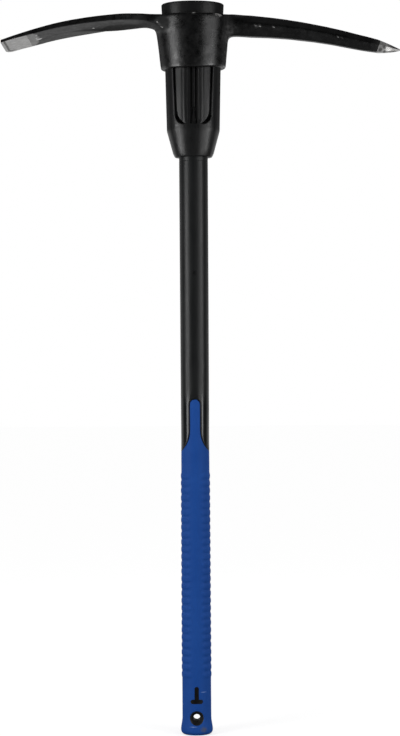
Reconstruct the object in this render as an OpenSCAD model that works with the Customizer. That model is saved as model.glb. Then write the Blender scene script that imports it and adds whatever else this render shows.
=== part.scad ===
// Pick mattock: a forged head with an adze blade and a pick point, wedged on a composite handle.
// The origin is the centre of the butt, +Z runs up the handle, +X points along the pick.

/* [Handle] */
// Length of the handle from its butt to its top
handle_l = 914; // [880:1:980]
// Width of the jacketed shaft at the sleeve's mouth
shaft_w = 36; // [35:0.5:39]
// Depth of the jacketed shaft at the sleeve's mouth
shaft_d = 30; // [29:0.5:32]
// Width of the shaft where it meets the grip
shaft_low_w = 35.2; // [34.5:0.1:37]
// Diameter of the fibreglass rod
core_d = 22; // [16:0.5:22.5]
// Height of the rod's lower end above the butt
core_z = 40; // [36:1:80]
// How far the rod's upper end lies below the handle's top
core_sunk = 1; // [0.5:0.5:4]
// Height of the moulding pin marks above the butt
pin_z = 577; // [460:1:660]
// Diameter of the moulding pin marks
pin_d = 5.4; // [3:0.2:8]
// Depth of the moulding pin marks
pin_deep = 2.5; // [1:0.1:3]
// Gap at a bonded or moulded joint between two handle pieces
bond_gap = 0.1; // [0.05:0.05:0.3]

/* [Sleeve] */
// Length of the sleeve from its mouth to the handle's top
sleeve_l = 192; // [180:1:210]
// Width of the sleeve at the top
rim_w = 78.4; // [76:0.2:82]
// Depth of the sleeve at the top
rim_d = 55; // [54:0.5:60]
// Width of the sleeve at the lower end of the eye
seat_w = 69.6; // [67.5:0.2:72]
// Width of the sleeve at the top of its cone
body_w = 66.2; // [63:0.2:67.4]
// Width of the sleeve at its mouth
mouth_w = 47; // [44:0.5:54]
// Height of the cone above the mouth
cone_h = 33; // [26:1:42]
// Round of the top rim
rim_r = 2; // [1:0.5:4]
// Round of the mouth's lip
lip_r = 2.5; // [1:0.5:4]
// How far the jacket reaches into the sleeve
socket_deep = 24; // [12:1:32]
// Thickness of the epoxy round the rod
bond_t = 1.2; // [0.6:0.1:2]

/* [Sleeve windows] */
// Width of each window
window_w = 45; // [40:1:48]
// Height of the window's sill above the cone
window_sill = 7; // [3:1:14]
// Distance from the window's head to the handle's top
window_head = 34; // [24:1:60]
// Round of the window's lower corners
window_r = 9; // [4:1:14]
// Width of the oval tube that is the window's floor
floor_w = 58; // [54:0.5:62]
// Depth of the oval tube that is the window's floor
floor_d = 46; // [42:0.5:46.2]
// Width of the channel down the window's floor
channel_w = 9.6; // [6:0.2:14]
// Width of the rib in the channel
channel_rib = 2.4; // [1:0.2:4]
// Depth of the channel
channel_deep = 1.2; // [0.5:0.1:2]

/* [Grip] */
// Width of the jacket under the grip
under_w = 30.6; // [29:0.2:31.4]
// Depth of the jacket under the grip
under_d = 25; // [24:0.2:26]
// Width of the grip above the butt
grip_w = 35.8; // [35:0.1:38]
// Depth of the grip above the butt
grip_d = 29.8; // [29:0.1:32]
// Thickness of the grip under the jacket's end
grip_floor = 5; // [3:0.5:8]
// Largest width of the butt
butt_w = 39.9; // [38.5:0.1:44]
// Height of the butt's flare
butt_h = 22; // [15:1:30]
// Round of the butt's lower edge
butt_r = 5.5; // [4:0.5:8]
// Height of the tongue's tip above the butt
tongue_z = 419; // [405:1:460]
// Height above the butt at which the tongue starts to flare
flare_z = 381; // [375:1:395]
// Width of the tongue
tongue_w = 12.8; // [10:0.2:16]
// Radius of the tongue's flare
flare_r = 38; // [30:1:46]
// Groove between the tongue and the jacket
groove_w = 0.8; // [0.3:0.1:1.2]

/* [Grip ribs] */
// Number of ribs
rib_n = 28; // [12:1:28]
// Distance from rib to rib
rib_pitch = 9.19; // [8:0.01:9.3]
// Height of the highest rib above the butt
rib_z = 323.2; // [322:0.1:340]
// Width of a rib
rib_w = 6.2; // [4:0.1:7]
// Height of a rib
rib_h = 0.65; // [0.3:0.05:1]
// Width of the smooth strip down the front and the back
strip_w = 15; // [10:0.5:20]

/* [Hang hole and mark] */
// Height of the hang hole above the butt
hole_z = 21.5; // [19:0.5:24]
// Diameter of the hang hole
hole_d = 9.4; // [6:0.2:12]
// Diameter of the eyelet that lines the hang hole
eyelet_d = 17.9; // [15:0.1:20]
// Length of the eyelet from front to back
eyelet_l = 27; // [24:0.5:28]
// Depth of each funnel mouth
funnel_deep = 6; // [3:0.5:9]
// Wall left at the rim of each funnel mouth
funnel_rim = 0.8; // [0.4:0.1:1.5]
// Height of the mark's foot above the butt
mark_z = 39.9; // [38:0.1:46]
// Height of the mark
mark_h = 21; // [14:0.5:24]
// Width of the mark's foot
mark_w = 15.5; // [10:0.5:18]
// Width of the mark's bars
mark_bar = 4.8; // [3:0.1:6]

/* [Head] */
// Distance from the top of the eye to the handle's top
eye_stand = 15.6; // [13:0.2:20]
// Height of the eye
eye_h = 66.4; // [60:0.2:74]
// Gap between the eye and the sleeve
eye_fit = 0.3; // [0.2:0.05:0.5]
// Wall of the eye at its ends, at the bottom
eye_end_low = 6; // [5:0.1:8]
// Wall of the eye at its ends, at the top
eye_end_high = 8; // [6:0.1:10]
// Wall of the eye at the front and back
eye_side = 6.5; // [5:0.1:8]
// Bevel of the eye's rims
eye_bevel = 1.8; // [1:0.1:2.5]

/* [Adze] */
// Distance from the handle's axis to the cutting edge
adze_reach = 237; // [200:1:270]
// Height of the adze's root above the top of the eye
adze_rise = 0.8; // [0.2:0.2:3]
// Drop from the root to the cutting edge
adze_drop = 35; // [20:1:50]
// Width at the root
adze_root_w = 46; // [36:1:54]
// Greatest width of the blade
adze_w = 78.5; // [70:0.5:90]
// Width of the cutting edge
adze_edge_w = 76; // [68:0.5:88]
// Thickness at the root
adze_root_t = 13.5; // [11:0.5:16]
// Thickness of the blade's sides at the root
adze_side_t = 8.4; // [7:0.2:10]
// Thickness that the sides would have at the edge without the grind
adze_end_t = 4.4; // [3.4:0.2:6]
// Thickness of the cutting edge
adze_edge_t = 1.8; // [1:0.2:3]
// Length of the ground bevel
adze_bevel_l = 38; // [25:1:55]
// Round of the fillet under the root
adze_fillet = 11; // [6:1:14]

/* [Pick] */
// Distance from the handle's axis to the point
pick_reach = 261; // [220:1:300]
// Height of the pick's root above the top of the eye
pick_rise = 2.8; // [0.4:0.2:4]
// Drop from the root to the start of the ground point
pick_drop = 34; // [20:1:48]
// Height of the root
pick_root_h = 26.5; // [22:0.5:30]
// Height at the start of the ground point
pick_end_h = 15.5; // [12:0.5:20]
// Depth of the root
pick_root_d = 24; // [18:0.5:30]
// Depth at the start of the ground point
pick_end_d = 15; // [11:0.5:19]
// Length of the ground point
pick_point_l = 29; // [20:1:45]
// Depth of the point below the start of the grind
pick_point_drop = 11.5; // [8:0.5:14]
// Round of the fillet under the root
pick_fillet = 7; // [4:1:12]

/* [Hidden] */
$fn = 48;
// Sides of an oval section
sides = 40;
// How far a cut runs past what it cuts
over = 1;
// Steps of a drawn round, of a small round, and of the round of the tongue's tip
arc_steps = 8;
round_steps = 4;
tip_steps = 16;

black_steel = [0.13, 0.14, 0.15];
black_plastic = [0.10, 0.10, 0.11];
blue_rubber = [0.11, 0.27, 0.55];
amber_resin = [0.80, 0.62, 0.30];
pale_fibre = [0.85, 0.80, 0.62];

// Depth over width of the shaft and the grip, and of the sleeve
shaft_ratio = shaft_d / shaft_w;
sleeve_ratio = rim_d / rim_w;

mouth_z = handle_l - sleeve_l;
cone_z = mouth_z + cone_h;
jacket_z = mouth_z + socket_deep;
eye_top_z = handle_l - eye_stand;
eye_low_z = eye_top_z - eye_h;
bond_d = core_d + 2 * bond_t;

// Width of the sleeve at a height within the eye
seat_slope = (rim_w - seat_w) / (handle_l - eye_low_z);
function seat_at(z) = seat_w + seat_slope * (z - eye_low_z);

// Half width and half depth of the eye's hole at a height
function hole_a(z) = seat_at(z) / 2 + eye_fit;
function hole_b(z) = seat_at(z) / 2 * sleeve_ratio + eye_fit;

function lerp(a, b, t) = a + (b - a) * t;
function clamp(t) = min(1, max(0, t));
function arc(x, y, r, from, to, n = arc_steps) = [
  for (i = [0 : n]) [x + r * cos(lerp(from, to, i / n)), y + r * sin(lerp(from, to, i / n))]
];

// An oval outline, and the same as a level ring of points
function oval_outline(w, d) = [
  for (i = [0 : sides - 1]) [w / 2 * cos(360 * i / sides), d / 2 * sin(360 * i / sides)]
];
function oval(z, w, d) = [for (p = oval_outline(w, d)) [p[0], p[1], z]];

// Oval rings from an upright outline of half widths and heights, at one ratio of depth to width
function oval_rings(outline, ratio) = [for (p = outline) oval(p[1], 2 * p[0], 2 * p[0] * ratio)];

// A solid whose skin runs straight from each ring to the next
module ring_solid(rings) {
  n = len(rings[0]);
  last = n * (len(rings) - 1);
  polyhedron(
    points = [for (ring = rings, p = ring) p],
    faces = concat(
      [[for (i = [0 : n - 1]) i], [for (i = [n - 1 : -1 : 0]) last + i]],
      [
        for (k = [0 : n : last - 1], i = [0 : n - 1])
          [k + i, k + n + i, k + n + (i + 1) % n, k + (i + 1) % n]
      ]
    )
  );
}

// A solid through a row of convex sections, hulled from each to the next
module loft(sections) {
  for (i = [0 : len(sections) - 2])
    hull()
      ring_solid([sections[i], sections[i + 1]]);
}

module oval_prism(z_low, z_high, w, d) {
  translate([0, 0, z_low])
    linear_extrude(z_high - z_low)
      polygon(oval_outline(w, d));
}

// A front outline, drawn as x and z, pushed through from y_from to y_to
module through(y_from, y_to) {
  translate([0, y_to, 0])
    rotate([90, 0, 0])
      linear_extrude(y_to - y_from)
        children();
}

// Head

adze_root_x = hole_a(eye_low_z) + eye_end_low;
adze_root_z = eye_top_z + adze_rise;
// Share of the arm's drop that grows evenly, the rest growing with the square of the length
adze_even = 0.02;
// Share of the blade's length at which it is widest
adze_widest = 0.7;
// Share of the blade's length along which the spine under it fades
adze_spine = 0.5;
// Half width of the flat along the spine, and the least crown of the underside
adze_keel = 7;
adze_crown = 0.1;

pick_root_x = adze_root_x;
pick_root_z = eye_top_z + pick_rise;
pick_end_x = pick_reach - pick_point_l;
pick_even = 0.33;
// Place of the side ridge between the top and the bottom, and the flats as shares of the depth
pick_ridge = 0.45;
pick_flat = 0.5;
// Size of the blunt tip
pick_tip = 1.2;

arm_steps = 12;
fillet_steps = 5;
// How far an arm is carried into the eye's wall
arm_bury = 5;

function arm_drop(t, even) = even * t + (1 - even) * t * t;
function root_fillet(x, root_x, r) =
  let (in = min(r, max(0, root_x + r - x))) r - sqrt(r * r - in * in);

// Stations of an arm: buried root, fillet, then even steps to its end
function stations(root_x, r, end_x) = concat(
  [root_x - arm_bury],
  [for (i = [0 : fillet_steps]) root_x + r * i / fillet_steps],
  [for (i = [1 : arm_steps]) lerp(root_x + r, end_x, i / arm_steps)]
);

function adze_half(t) =
  t < adze_widest
    ? lerp(adze_root_w, adze_w, sin(90 * t / adze_widest)) / 2
    : lerp(adze_w, adze_edge_w, (t - adze_widest) / (1 - adze_widest)) / 2;

function adze_section(x) =
  let (
    t = clamp((x - adze_root_x) / (adze_reach - adze_root_x)),
    half = adze_half(t),
    top = adze_root_z - adze_drop * arm_drop(t, adze_even),
    ground = clamp((x - adze_reach + adze_bevel_l) / adze_bevel_l),
    side = lerp(lerp(adze_side_t, adze_end_t, t), adze_edge_t, ground),
    centre = max(side + adze_crown, lerp(adze_root_t, side, clamp(t / adze_spine))),
    low = top - centre - root_fillet(x, adze_root_x, adze_fillet)
  )
  [
    [-x, -half, top], [-x, half, top], [-x, half, top - side],
    [-x, adze_keel, low], [-x, -adze_keel, low], [-x, -half, top - side]
  ];

function pick_section(x) =
  let (
    t = clamp((x - pick_root_x) / (pick_end_x - pick_root_x)),
    half = lerp(pick_root_d, pick_end_d, t) / 2,
    top = pick_root_z - pick_drop * arm_drop(t, pick_even),
    low = top - lerp(pick_root_h, pick_end_h, t) - root_fillet(x, pick_root_x, pick_fillet)
  )
  [
    [x, -half * pick_flat, top], [x, half * pick_flat, top], [x, half, lerp(top, low, pick_ridge)],
    [x, half * pick_flat, low], [x, -half * pick_flat, low], [x, -half, lerp(top, low, pick_ridge)]
  ];

// The six corners of the pick's tip, drawn in to a blunt point
pick_tip_z = pick_root_z - pick_drop - pick_point_drop;
function pick_point() = [
  for (p = pick_section(pick_end_x))
    let (
      y = p[1] * pick_tip / pick_end_d,
      z = (p[2] - pick_root_z + pick_drop) * pick_tip / pick_end_h
    )
      [pick_reach, y, pick_tip_z + z]
];

module eye_outside() {
  low_w = 2 * (hole_a(eye_low_z) + eye_end_low);
  low_d = 2 * (hole_b(eye_low_z) + eye_side);
  high_w = 2 * (hole_a(eye_top_z) + eye_end_high);
  high_d = 2 * (hole_b(eye_top_z) + eye_side);
  loft([
    oval(eye_low_z, low_w - 2 * eye_bevel, low_d - 2 * eye_bevel),
    oval(eye_low_z + eye_bevel, low_w, low_d),
    oval(eye_top_z - eye_bevel, high_w, high_d),
    oval(eye_top_z, high_w - 2 * eye_bevel, high_d - 2 * eye_bevel)
  ]);
}

module eye_hole() {
  z_low = eye_low_z - over;
  z_high = eye_top_z + max(adze_rise, pick_rise) + over;
  loft([for (z = [z_low, z_high]) oval(z, 2 * hole_a(z), 2 * hole_b(z))]);
}

module mattock_head() {
  color(black_steel)
    difference() {
      union() {
        eye_outside();
        loft([for (x = stations(adze_root_x, adze_fillet, adze_reach)) adze_section(x)]);
        loft(concat(
          [for (x = stations(pick_root_x, pick_fillet, pick_end_x)) pick_section(x)],
          [pick_point()]
        ));
      }
      eye_hole();
    }
}

// Sleeve

module sleeve_outside() {
  cone_angle = atan((body_w - mouth_w) / 2 / cone_h);
  outline = concat(
    arc(mouth_w / 2 - lip_r, mouth_z + lip_r, lip_r, -90, -cone_angle, round_steps),
    [[body_w / 2, cone_z], [seat_w / 2, eye_low_z]],
    arc(rim_w / 2 - rim_r, handle_l - rim_r, rim_r, 0, 90, round_steps)
  );
  loft(oval_rings(outline, sleeve_ratio));
}

module window_outline() {
  low = cone_z + window_sill;
  high = handle_l - window_head;
  polygon(concat(
    [[window_w / 2, high], [-window_w / 2, high]],
    arc(-window_w / 2 + window_r, low + window_r, window_r, 180, 270),
    arc(window_w / 2 - window_r, low + window_r, window_r, 270, 360)
  ));
}

module window_floor() {
  slot_w = (channel_w - channel_rib) / 2;
  difference() {
    oval_prism(cone_z, handle_l, floor_w, floor_d);
    for (side = [-1, 1], face = [-1, 1])
      translate([side * (channel_rib + slot_w) / 2, face * floor_d / 2, handle_l / 2])
        cube([slot_w, 2 * channel_deep, handle_l], center = true);
  }
}

module eye_sleeve() {
  color(black_plastic)
    difference() {
      sleeve_outside();
      difference() {
        through(-rim_d, rim_d) window_outline();
        window_floor();
      }
      translate([0, 0, mouth_z - over])
        cylinder(d = bond_d + 2 * bond_gap, h = sleeve_l + 2 * over);
      oval_prism(mouth_z - over, jacket_z, shaft_w + 2 * bond_gap, shaft_d + 2 * bond_gap);
    }
}

module epoxy_bond() {
  color(amber_resin)
    translate([0, 0, jacket_z + bond_gap])
      difference() {
        cylinder(d = bond_d, h = handle_l - core_sunk - jacket_z - bond_gap);
        translate([0, 0, -over])
          cylinder(d = core_d + 2 * bond_gap, h = sleeve_l);
      }
}

module fibreglass_core() {
  color(pale_fibre)
    translate([0, 0, core_z])
      cylinder(d = core_d, h = handle_l - core_sunk - core_z);
}

// Jacket and grip

// Steps up the butt's flare
butt_steps = 6;
// Steps along the shaft, which swells from the grip to the sleeve
shaft_steps = 8;

// Front outline of the grip, grown by a gap: full width below, flaring in to the tongue
module grip_outline(grow) {
  half = tongue_w / 2 + grow;
  r = flare_r - grow;
  wide = butt_w / 2 + over;
  flare_end = acos(clamp((half + r - wide) / r));
  polygon(concat(
    [[-wide, -over], [wide, -over]],
    arc(half + r, flare_z, r, 180 + flare_end, 180),
    arc(0, tongue_z - tongue_w / 2, half, 0, 180, tip_steps),
    arc(-half - r, flare_z, r, 0, -flare_end)
  ));
}

module under_post(grow, z_low) {
  oval_prism(z_low, tongue_z + 2 * over, under_w + 2 * grow, under_d + 2 * grow);
}

module hang_bore(d) {
  translate([0, 0, hole_z])
    rotate([90, 0, 0])
      cylinder(d = d, h = 2 * butt_w, center = true);
}

module handle_jacket() {
  shaft_low_z = flare_z - flare_r - over;
  shaft_outline = [
    for (i = [0 : shaft_steps])
      let (t = i / shaft_steps)
        [lerp(shaft_low_w, shaft_w, sin(90 * t)) / 2, lerp(shaft_low_z, jacket_z, t)]
  ];
  color(black_plastic)
    difference() {
      union() {
        difference() {
          loft(oval_rings(shaft_outline, shaft_ratio));
          through(-shaft_d, shaft_d) grip_outline(groove_w);
        }
        under_post(0, grip_floor + bond_gap);
      }
      translate([0, 0, core_z - bond_gap])
        cylinder(d = core_d + 2 * bond_gap, h = handle_l);
      hang_bore(eyelet_d);
      for (face = [-1, 1])
        translate([0, face * (shaft_d / 2 + over), pin_z])
          rotate([face * 90, 0, 0])
            cylinder(d = pin_d, h = pin_deep + over);
    }
}

module grip_outside() {
  butt_outline = concat(
    arc(butt_w / 2 - butt_r, butt_r, butt_r, -90, 0, round_steps),
    [
      for (i = [1 : butt_steps])
        let (t = i / butt_steps)
          [lerp(grip_w, butt_w, (1 + cos(180 * t)) / 2) / 2, lerp(butt_r, butt_h, t)]
    ]
  );
  ring_solid(oval_rings(butt_outline, grip_d / grip_w));
  oval_prism(butt_h, tongue_z + over, grip_w, grip_d);
}

module grip_ribs() {
  difference() {
    for (i = [0 : rib_n - 1])
      let (z = rib_z - i * rib_pitch)
        oval_prism(z - rib_w / 2, z + rib_w / 2, grip_w + 2 * rib_h, grip_d + 2 * rib_h);
    translate([-strip_w / 2, -butt_w, 0])
      cube([strip_w, 2 * butt_w, handle_l]);
  }
}

// A plain bar on a foot, grown by a gap
module mark_outline(grow) {
  translate([-mark_w / 2 - grow, mark_z - grow])
    square([mark_w + 2 * grow, mark_bar + 2 * grow]);
  translate([-mark_bar / 2 - grow, mark_z - grow])
    square([mark_bar + 2 * grow, mark_h + 2 * grow]);
}

module grip() {
  color(blue_rubber)
    difference() {
      intersection() {
        union() {
          grip_outside();
          grip_ribs();
        }
        through(-butt_w, butt_w) grip_outline(0);
      }
      under_post(bond_gap, grip_floor);
      hang_bore(eyelet_d);
      through(-butt_w, 0) mark_outline(bond_gap);
    }
}

module grip_inlay() {
  color(black_plastic)
    difference() {
      intersection() {
        grip_outside();
        through(-butt_w, 0) mark_outline(0);
      }
      under_post(bond_gap, grip_floor);
    }
}

module hang_hole_eyelet() {
  color(black_plastic)
    translate([0, 0, hole_z])
      rotate([90, 0, 0])
        difference() {
          cylinder(d = eyelet_d - 2 * bond_gap, h = eyelet_l, center = true);
          cylinder(d = hole_d, h = eyelet_l + 2 * over, center = true);
          for (end = [0, 1])
            mirror([0, 0, end])
              translate([0, 0, eyelet_l / 2 - funnel_deep])
                cylinder(d1 = hole_d, d2 = eyelet_d - 2 * funnel_rim, h = funnel_deep);
        }
}

mattock_head();
eye_sleeve();
epoxy_bond();
fibreglass_core();
handle_jacket();
grip();
grip_inlay();
hang_hole_eyelet();
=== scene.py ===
import math
from types import SimpleNamespace

import bmesh
import bpy
import numpy as np
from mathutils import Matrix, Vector, noise


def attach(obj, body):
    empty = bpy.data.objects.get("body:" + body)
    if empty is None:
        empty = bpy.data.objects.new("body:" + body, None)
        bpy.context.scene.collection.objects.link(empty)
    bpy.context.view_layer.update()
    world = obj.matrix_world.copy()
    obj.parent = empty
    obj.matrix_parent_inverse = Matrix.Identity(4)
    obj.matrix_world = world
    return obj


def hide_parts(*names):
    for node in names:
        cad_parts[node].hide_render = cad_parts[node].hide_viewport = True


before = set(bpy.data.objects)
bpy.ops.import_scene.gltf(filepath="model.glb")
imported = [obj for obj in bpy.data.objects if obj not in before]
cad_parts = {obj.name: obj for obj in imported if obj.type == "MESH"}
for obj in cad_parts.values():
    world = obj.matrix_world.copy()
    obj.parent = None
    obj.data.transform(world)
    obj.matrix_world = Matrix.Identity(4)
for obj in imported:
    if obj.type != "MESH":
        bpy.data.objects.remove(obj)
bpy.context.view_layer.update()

MM = 0.001
QUARTER = math.pi / 2

# Camera, and the height of its picture at the handle's axis
CAMERA_X, CAMERA_Z, CAMERA_AWAY, CAMERA_ROLL = 6.58, 458.3, 2257.0, 0.356
FRAME_H, SENSOR = 736 * 1.254, 36.0

# Handle
HANDLE_L = 914.0
SHAFT_W, SHAFT_LOW_W, SHAFT_LOW_Z, SHAFT_RATIO = 36.0, 35.2, 342.0, 30 / 36
TANG_W, TANG_D, TANG_LOW, TANG_TOP, TANG_BEVEL = 30.6, 25.0, 36.0, 431.0, 0.6
# The skins' gap on the tang, the x up to which their inside keeps the outside's, and their own half width
TANG_FIT, TANG_KEEP, SKIN_HALF = 0.1, 11.0, 18.0
PIN_Z, PIN_R, PIN_DEEP = 577.0, 2.4, 1.6
SEAM_Z, SEAM_HALF, SEAM_DEEP = 717.6, 0.35, 0.16
# Sleeve
MOUTH_Z, CONE_Z, SEAT_Z, SOCKET_Z = 722.0, 755.0, 832.0, 746.0
RIM_W, SEAT_W, BODY_W, MOUTH_W, SLEEVE_RATIO = 78.4, 69.6, 66.2, 48.2, 55 / 78.4
SLEEVE_W = ((MOUTH_Z, MOUTH_W), (CONE_Z, BODY_W), (SEAT_Z, SEAT_W), (HANDLE_L, RIM_W))
RIM_R, LIP_R, CONE_ROUND = 2.0, 2.5, 2.5
BORE_R, BORE_BEVEL, SOCKET_FIT, SOCKET_BEVEL = 12.3, 0.6, 0.1, 0.8
WINDOW_W, WINDOW_LOW, WINDOW_HIGH, WINDOW_R, WALL_T = 44.0, 762.0, 880.0, 11.0, 1.1
# The window widens upwards by this share, and in its middle the floor runs out at the foot
WINDOW_FLARE, FLARE_X, FOOT_RUN, FOOT_X = 0.04, (13.5, 20.6), 5.0, (9, 13)
# The round of the window's lip: radius, and its share towards the sides
WINDOW_LIP, LIP_SHARE, LIP_X = 1.3, 0.7, (8, 14)
FLOOR_W, FLOOR_D, FLOOR_CROWN = 58.0, 46.0, 17.0
# In the window's floor: a channel, and in it a spine, a nub at the spine's foot and a wedge below
CHANNEL_HALF, CHANNEL_EDGE, CHANNEL_DEEP, CHANNEL_X = 4.2, 0.25, 3.6, 0.6
SPINE_H, SPINE_HALF, SPINE_FOOT = 1.7, (2.1, 1.5), (781, 784)
NUB_H, NUB_HALF, NUB_Z = 2.6, (1.5, 0.4), 783.5
WEDGE_H, WEDGE_HALF, WEDGE_EDGE, WEDGE_Z, WEDGE_L = 1.5, 3.2, 0.3, 783, 18
# A trench along the window's walls: width and depth up the sides and at the foot, and where they change
TRENCH_W, TRENCH_W_Z, TRENCH_EDGE = (2.8, 4.4), (778, 766), 0.7
TRENCH_DEEP, TRENCH_DEEP_Z = (2.6, 7.6), (776, 768)
TRENCH_X, TRENCH_END_W, TRENCH_END_X = (11, 13.5), 0.35, (11.5, 18)
# Fine lines down the floor: depth, from and to across, and width of their slopes
FLOOR_LINES = ((0.1, 7.4, 8.3, 0.3), (0.15, 12.2, 13.6, 0.5))
# Grip
TONGUE_Z, FLARE_Z, TONGUE_W, FLARE_R = 419.0, 381.0, 12.8, 38.0
TONGUE_C = TONGUE_Z - TONGUE_W / 2
# About where the grip's outline leaves the sides of the handle
LEAVES_Z = 354
# The groove round the tongue closes towards the sides of the handle, and so do the rounds of its lips
GROOVE_W, GROOVE_SIDE_W, GROOVE_OPENS = 0.55, 0.1, (354, 372)
JACKET_ROUND, GRIP_ROUND, ROUND_OPENS = 1.1, 0.7, (353, 366)
GRIP_TOP_W, GRIP_LOW_W, GRIP_RATIO = 35.3, 36.2, 29.8 / 35.8
GRIP_TOP, GRIP_JOINS, GRIP_UNDER = 345.0, 362.0, 0.12
BUTT_W, BUTT_H, BUTT_R = 39.9, 22.0, 5.5
RIB_N, RIB_PITCH, RIB_Z, RIB_W, RIB_H, STRIP_W = 28, 9.19, 323.2, 6.2, 0.65, 14.0
RIB_SLOPE = (-0.9, 1.5)
HOLE_Z, HOLE_R, EYELET_R, EYELET_FIT, THROAT = 21.5, 4.3, 8.95, 0.1, 7.6
# The eyelet's rim: distance in from its outside, and depth below the grip's skin
EYELET_RIM = ((0.0, 3.0), (0.0, 1.25), (0.2, 0.95), (0.55, 0.95), (0.8, 1.25))
MARK_Z, MARK_H, MARK_W, MARK_BAR, MARK_CUT = 39.5, 21.4, 15.5, 5.5, 1.6
MARK_FIT, MARK_SUNK, MARK_T = 0.12, 0.3, 1.0
# Head
EYE_LOW, EYE_TOP, EYE_FIT, EYE_RIM = 832.0, 898.4, 0.3, 2.2
EYE_LOW_AB, EYE_TOP_AB = (40.7, 31.2), (46.7, 33.7)
# The eye's lower edge: lower in front, higher at the sides and at the pick, and set off a little towards it
EYE_SAG, EYE_LIFT, EYE_TILT, EYE_LEAN, LEAN_TOP = 0.8, 0.9, 0.8, 0.5, 878.4
# Rows of the eye's wall: height on the adze's side and on the pick's, and the swell under the adze
EYE_ROWS = ((837.5, 837.5, 0.0), (852, 849, 0.0), (872, 863, 0.6), (882.8, 874.2, 1.0), (892, 889, 0.0))
HOLE_ROWS = (884, 850)
ARM_ROOT_X = 41.1
# Control points of the arms stand off their skin by this much, since subdivision draws it in
ADZE_SKIN, PICK_SKIN = 0.3, 0.7
ADZE_REACH, ADZE_RISE, ADZE_DROP, ADZE_EVEN = 237.0, 0.8, 35.0, 0.02
ADZE_ROOT_W, ADZE_W, ADZE_EDGE_W, ADZE_WIDEST = 40.0, 78.5, 76.0, 0.62
ADZE_SIDE_T, ADZE_END_T, ADZE_EDGE_T = 8.4, 4.4, 3.3
ADZE_BEVEL, ADZE_CORNER, ADZE_CORNER_W, ADZE_DIP, DIP_X = 33.0, 9.0, 17.0, 1.0, (80, 45)
# Share of the corner's round at the very end, and of the way from the ridge's foot to a side
CORNER_END, BELLY_SHARE = 0.98, 0.55
# Where the adze's top bows up a little more: distance out, height and half length
ADZE_BOW = ((171, 0.5, 20), (86, 0.35, 15))
# The ridge under the adze: distance out, depth below the sides, and how much of that is one slope to the back
ADZE_RIDGE = ((55, 2.6, 2.2), (66, 3.4, 2.4), (81, 4.6, 2.6), (97, 5.1, 2.4), (112, 4.6, 1.2),
              (127, 3.0, 0.3), (143, 1.3, 0.1), (159, 0.0, 0.0))
# It lies this far to the back. Half widths of its crest and its foot, behind it and before it
RIDGE_Y, CREST_BACK, FOOT_BACK, CREST_FRONT, FOOT_FRONT = 11.0, 4.0, 9.0, 2.0, 15.0
# Where it leaves the middle, and where it comes back to it and narrows, to these shares
RIDGE_LEAVES, RIDGE_RETURNS, RETURN_Y, RETURN_FOOT = (52, 75), (92, 124), 0.55, 0.5
FRONT_SLOPE = 0.4
PICK_REACH, PICK_RISE, PICK_DROP, PICK_EVEN = 261.0, 2.8, 34.0, 0.33
PICK_ROOT_H, PICK_END_H, PICK_ROOT_D, PICK_END_D = 26.5, 15.5, 24.0, 15.0
PICK_POINT, PICK_POINT_DROP, PICK_RIDGE = 29.0, 12.3, 0.45
# The point closes by this share, its lower side along a curve, and thins from a place on along another
POINT_CLOSES, POINT_CURVE, POINT_THINS, THINS_FROM, THINS_CURVE = 0.93, 3.3, 0.9, 0.25, 1.35
# Width of the pick's flats as a share of its depth, along the shank and at the point, and where that changes
PICK_FLAT, POINT_FLAT, POINT_FLAT_AT = 0.5, 0.78, (-0.35, 0.15)
# A slight hollow along the pick's top: depth, distance out and half length
PICK_SINK, SINK_X, SINK_L = 0.6, 74, 16
# How far the pick's lower edge lies above an even taper, by distance out
PICK_BELLY = ((179, -0.05), (199, -0.7), (219, 0.0), (229.8, 1.2), (234.2, 1.4))

# Colours, dark and light where there are two
PAINT = (0.0014, 0.0015, 0.0017, 1), (0.0032, 0.0033, 0.0036, 1)
STEEL = (0.6, 0.595, 0.585, 1), (0.88, 0.87, 0.86, 1)
NYLON = (0.0065, 0.0067, 0.007, 1), (0.011, 0.0113, 0.0117, 1)
JACKET = (0.0088, 0.0096, 0.01, 1), (0.0132, 0.0142, 0.0148, 1)
RUBBER = (0.0085, 0.067, 0.318, 1), (0.013, 0.081, 0.356, 1)
STRANDS = (0.42, 0.36, 0.2, 1), (0.7, 0.64, 0.45, 1)
AMBER = (0.36, 0.2, 0.06, 1), (0.52, 0.33, 0.12, 1)
THIN_PAINT, BURR, CHIP = (0.5, 0.497, 0.49, 1), (0.13, 0.128, 0.124, 1), (0.97, 0.965, 0.96, 1)
# The nylon's pale grey serves both its scuffs and the painted highlight at the window's corner
STAIN, SCUFF_AND_HIGHLIGHT, SPECK = (0.09, 0.088, 0.085, 1), (0.17, 0.17, 0.172, 1), (0.05, 0.05, 0.05, 1)
RUBBED, SCRATCH, SOIL = (0.05, 0.115, 0.33, 1), (0.19, 0.3, 0.62, 1), (0.1, 0.105, 0.125, 1)
SAWN = (0.3, 0.26, 0.16, 1)
# Spots on the front: centre and half sizes. The first is a painted highlight, where the lip at the window's
# lower left corner catches the light
CORNER_HIGHLIGHT_SPOT = (-20.4, -17, 760.4), (3.4, 9, 2.0)
SCRATCHES = ((9, -15, 54.2), (5, 8, 0.9)), ((-4.5, -16, 11.0), (6.5, 8, 0.8))
SOILED = (8.6, -15, 7.6), (6.0, 9, 5.0)


# Small helpers

def lerp(a, b, t):
    return a + (b - a) * t


def clamp(t, low=0.0, high=1.0):
    return min(high, max(low, t))


def ease(low, high, v):
    """A smooth step from 0 at low to 1 at high."""
    t = clamp((v - low) / (high - low))
    return t * t * (3 - 2 * t)


def hump(v, centre, half):
    return math.exp(-((v - centre) / half) ** 2)


def between(v, table):
    """The values of a table at a place between its rows, which begin with their place."""
    places, *columns = zip(*table)
    return [float(np.interp(v, places, column)) for column in columns]


def runs(*parts):
    """The values of runs of (start, end, count), each without its end, and then the last end."""
    values = []
    for start, end, count in parts:
        values += [lerp(start, end, i / count) for i in range(count)]
    return values + [parts[-1][1]]


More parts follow.
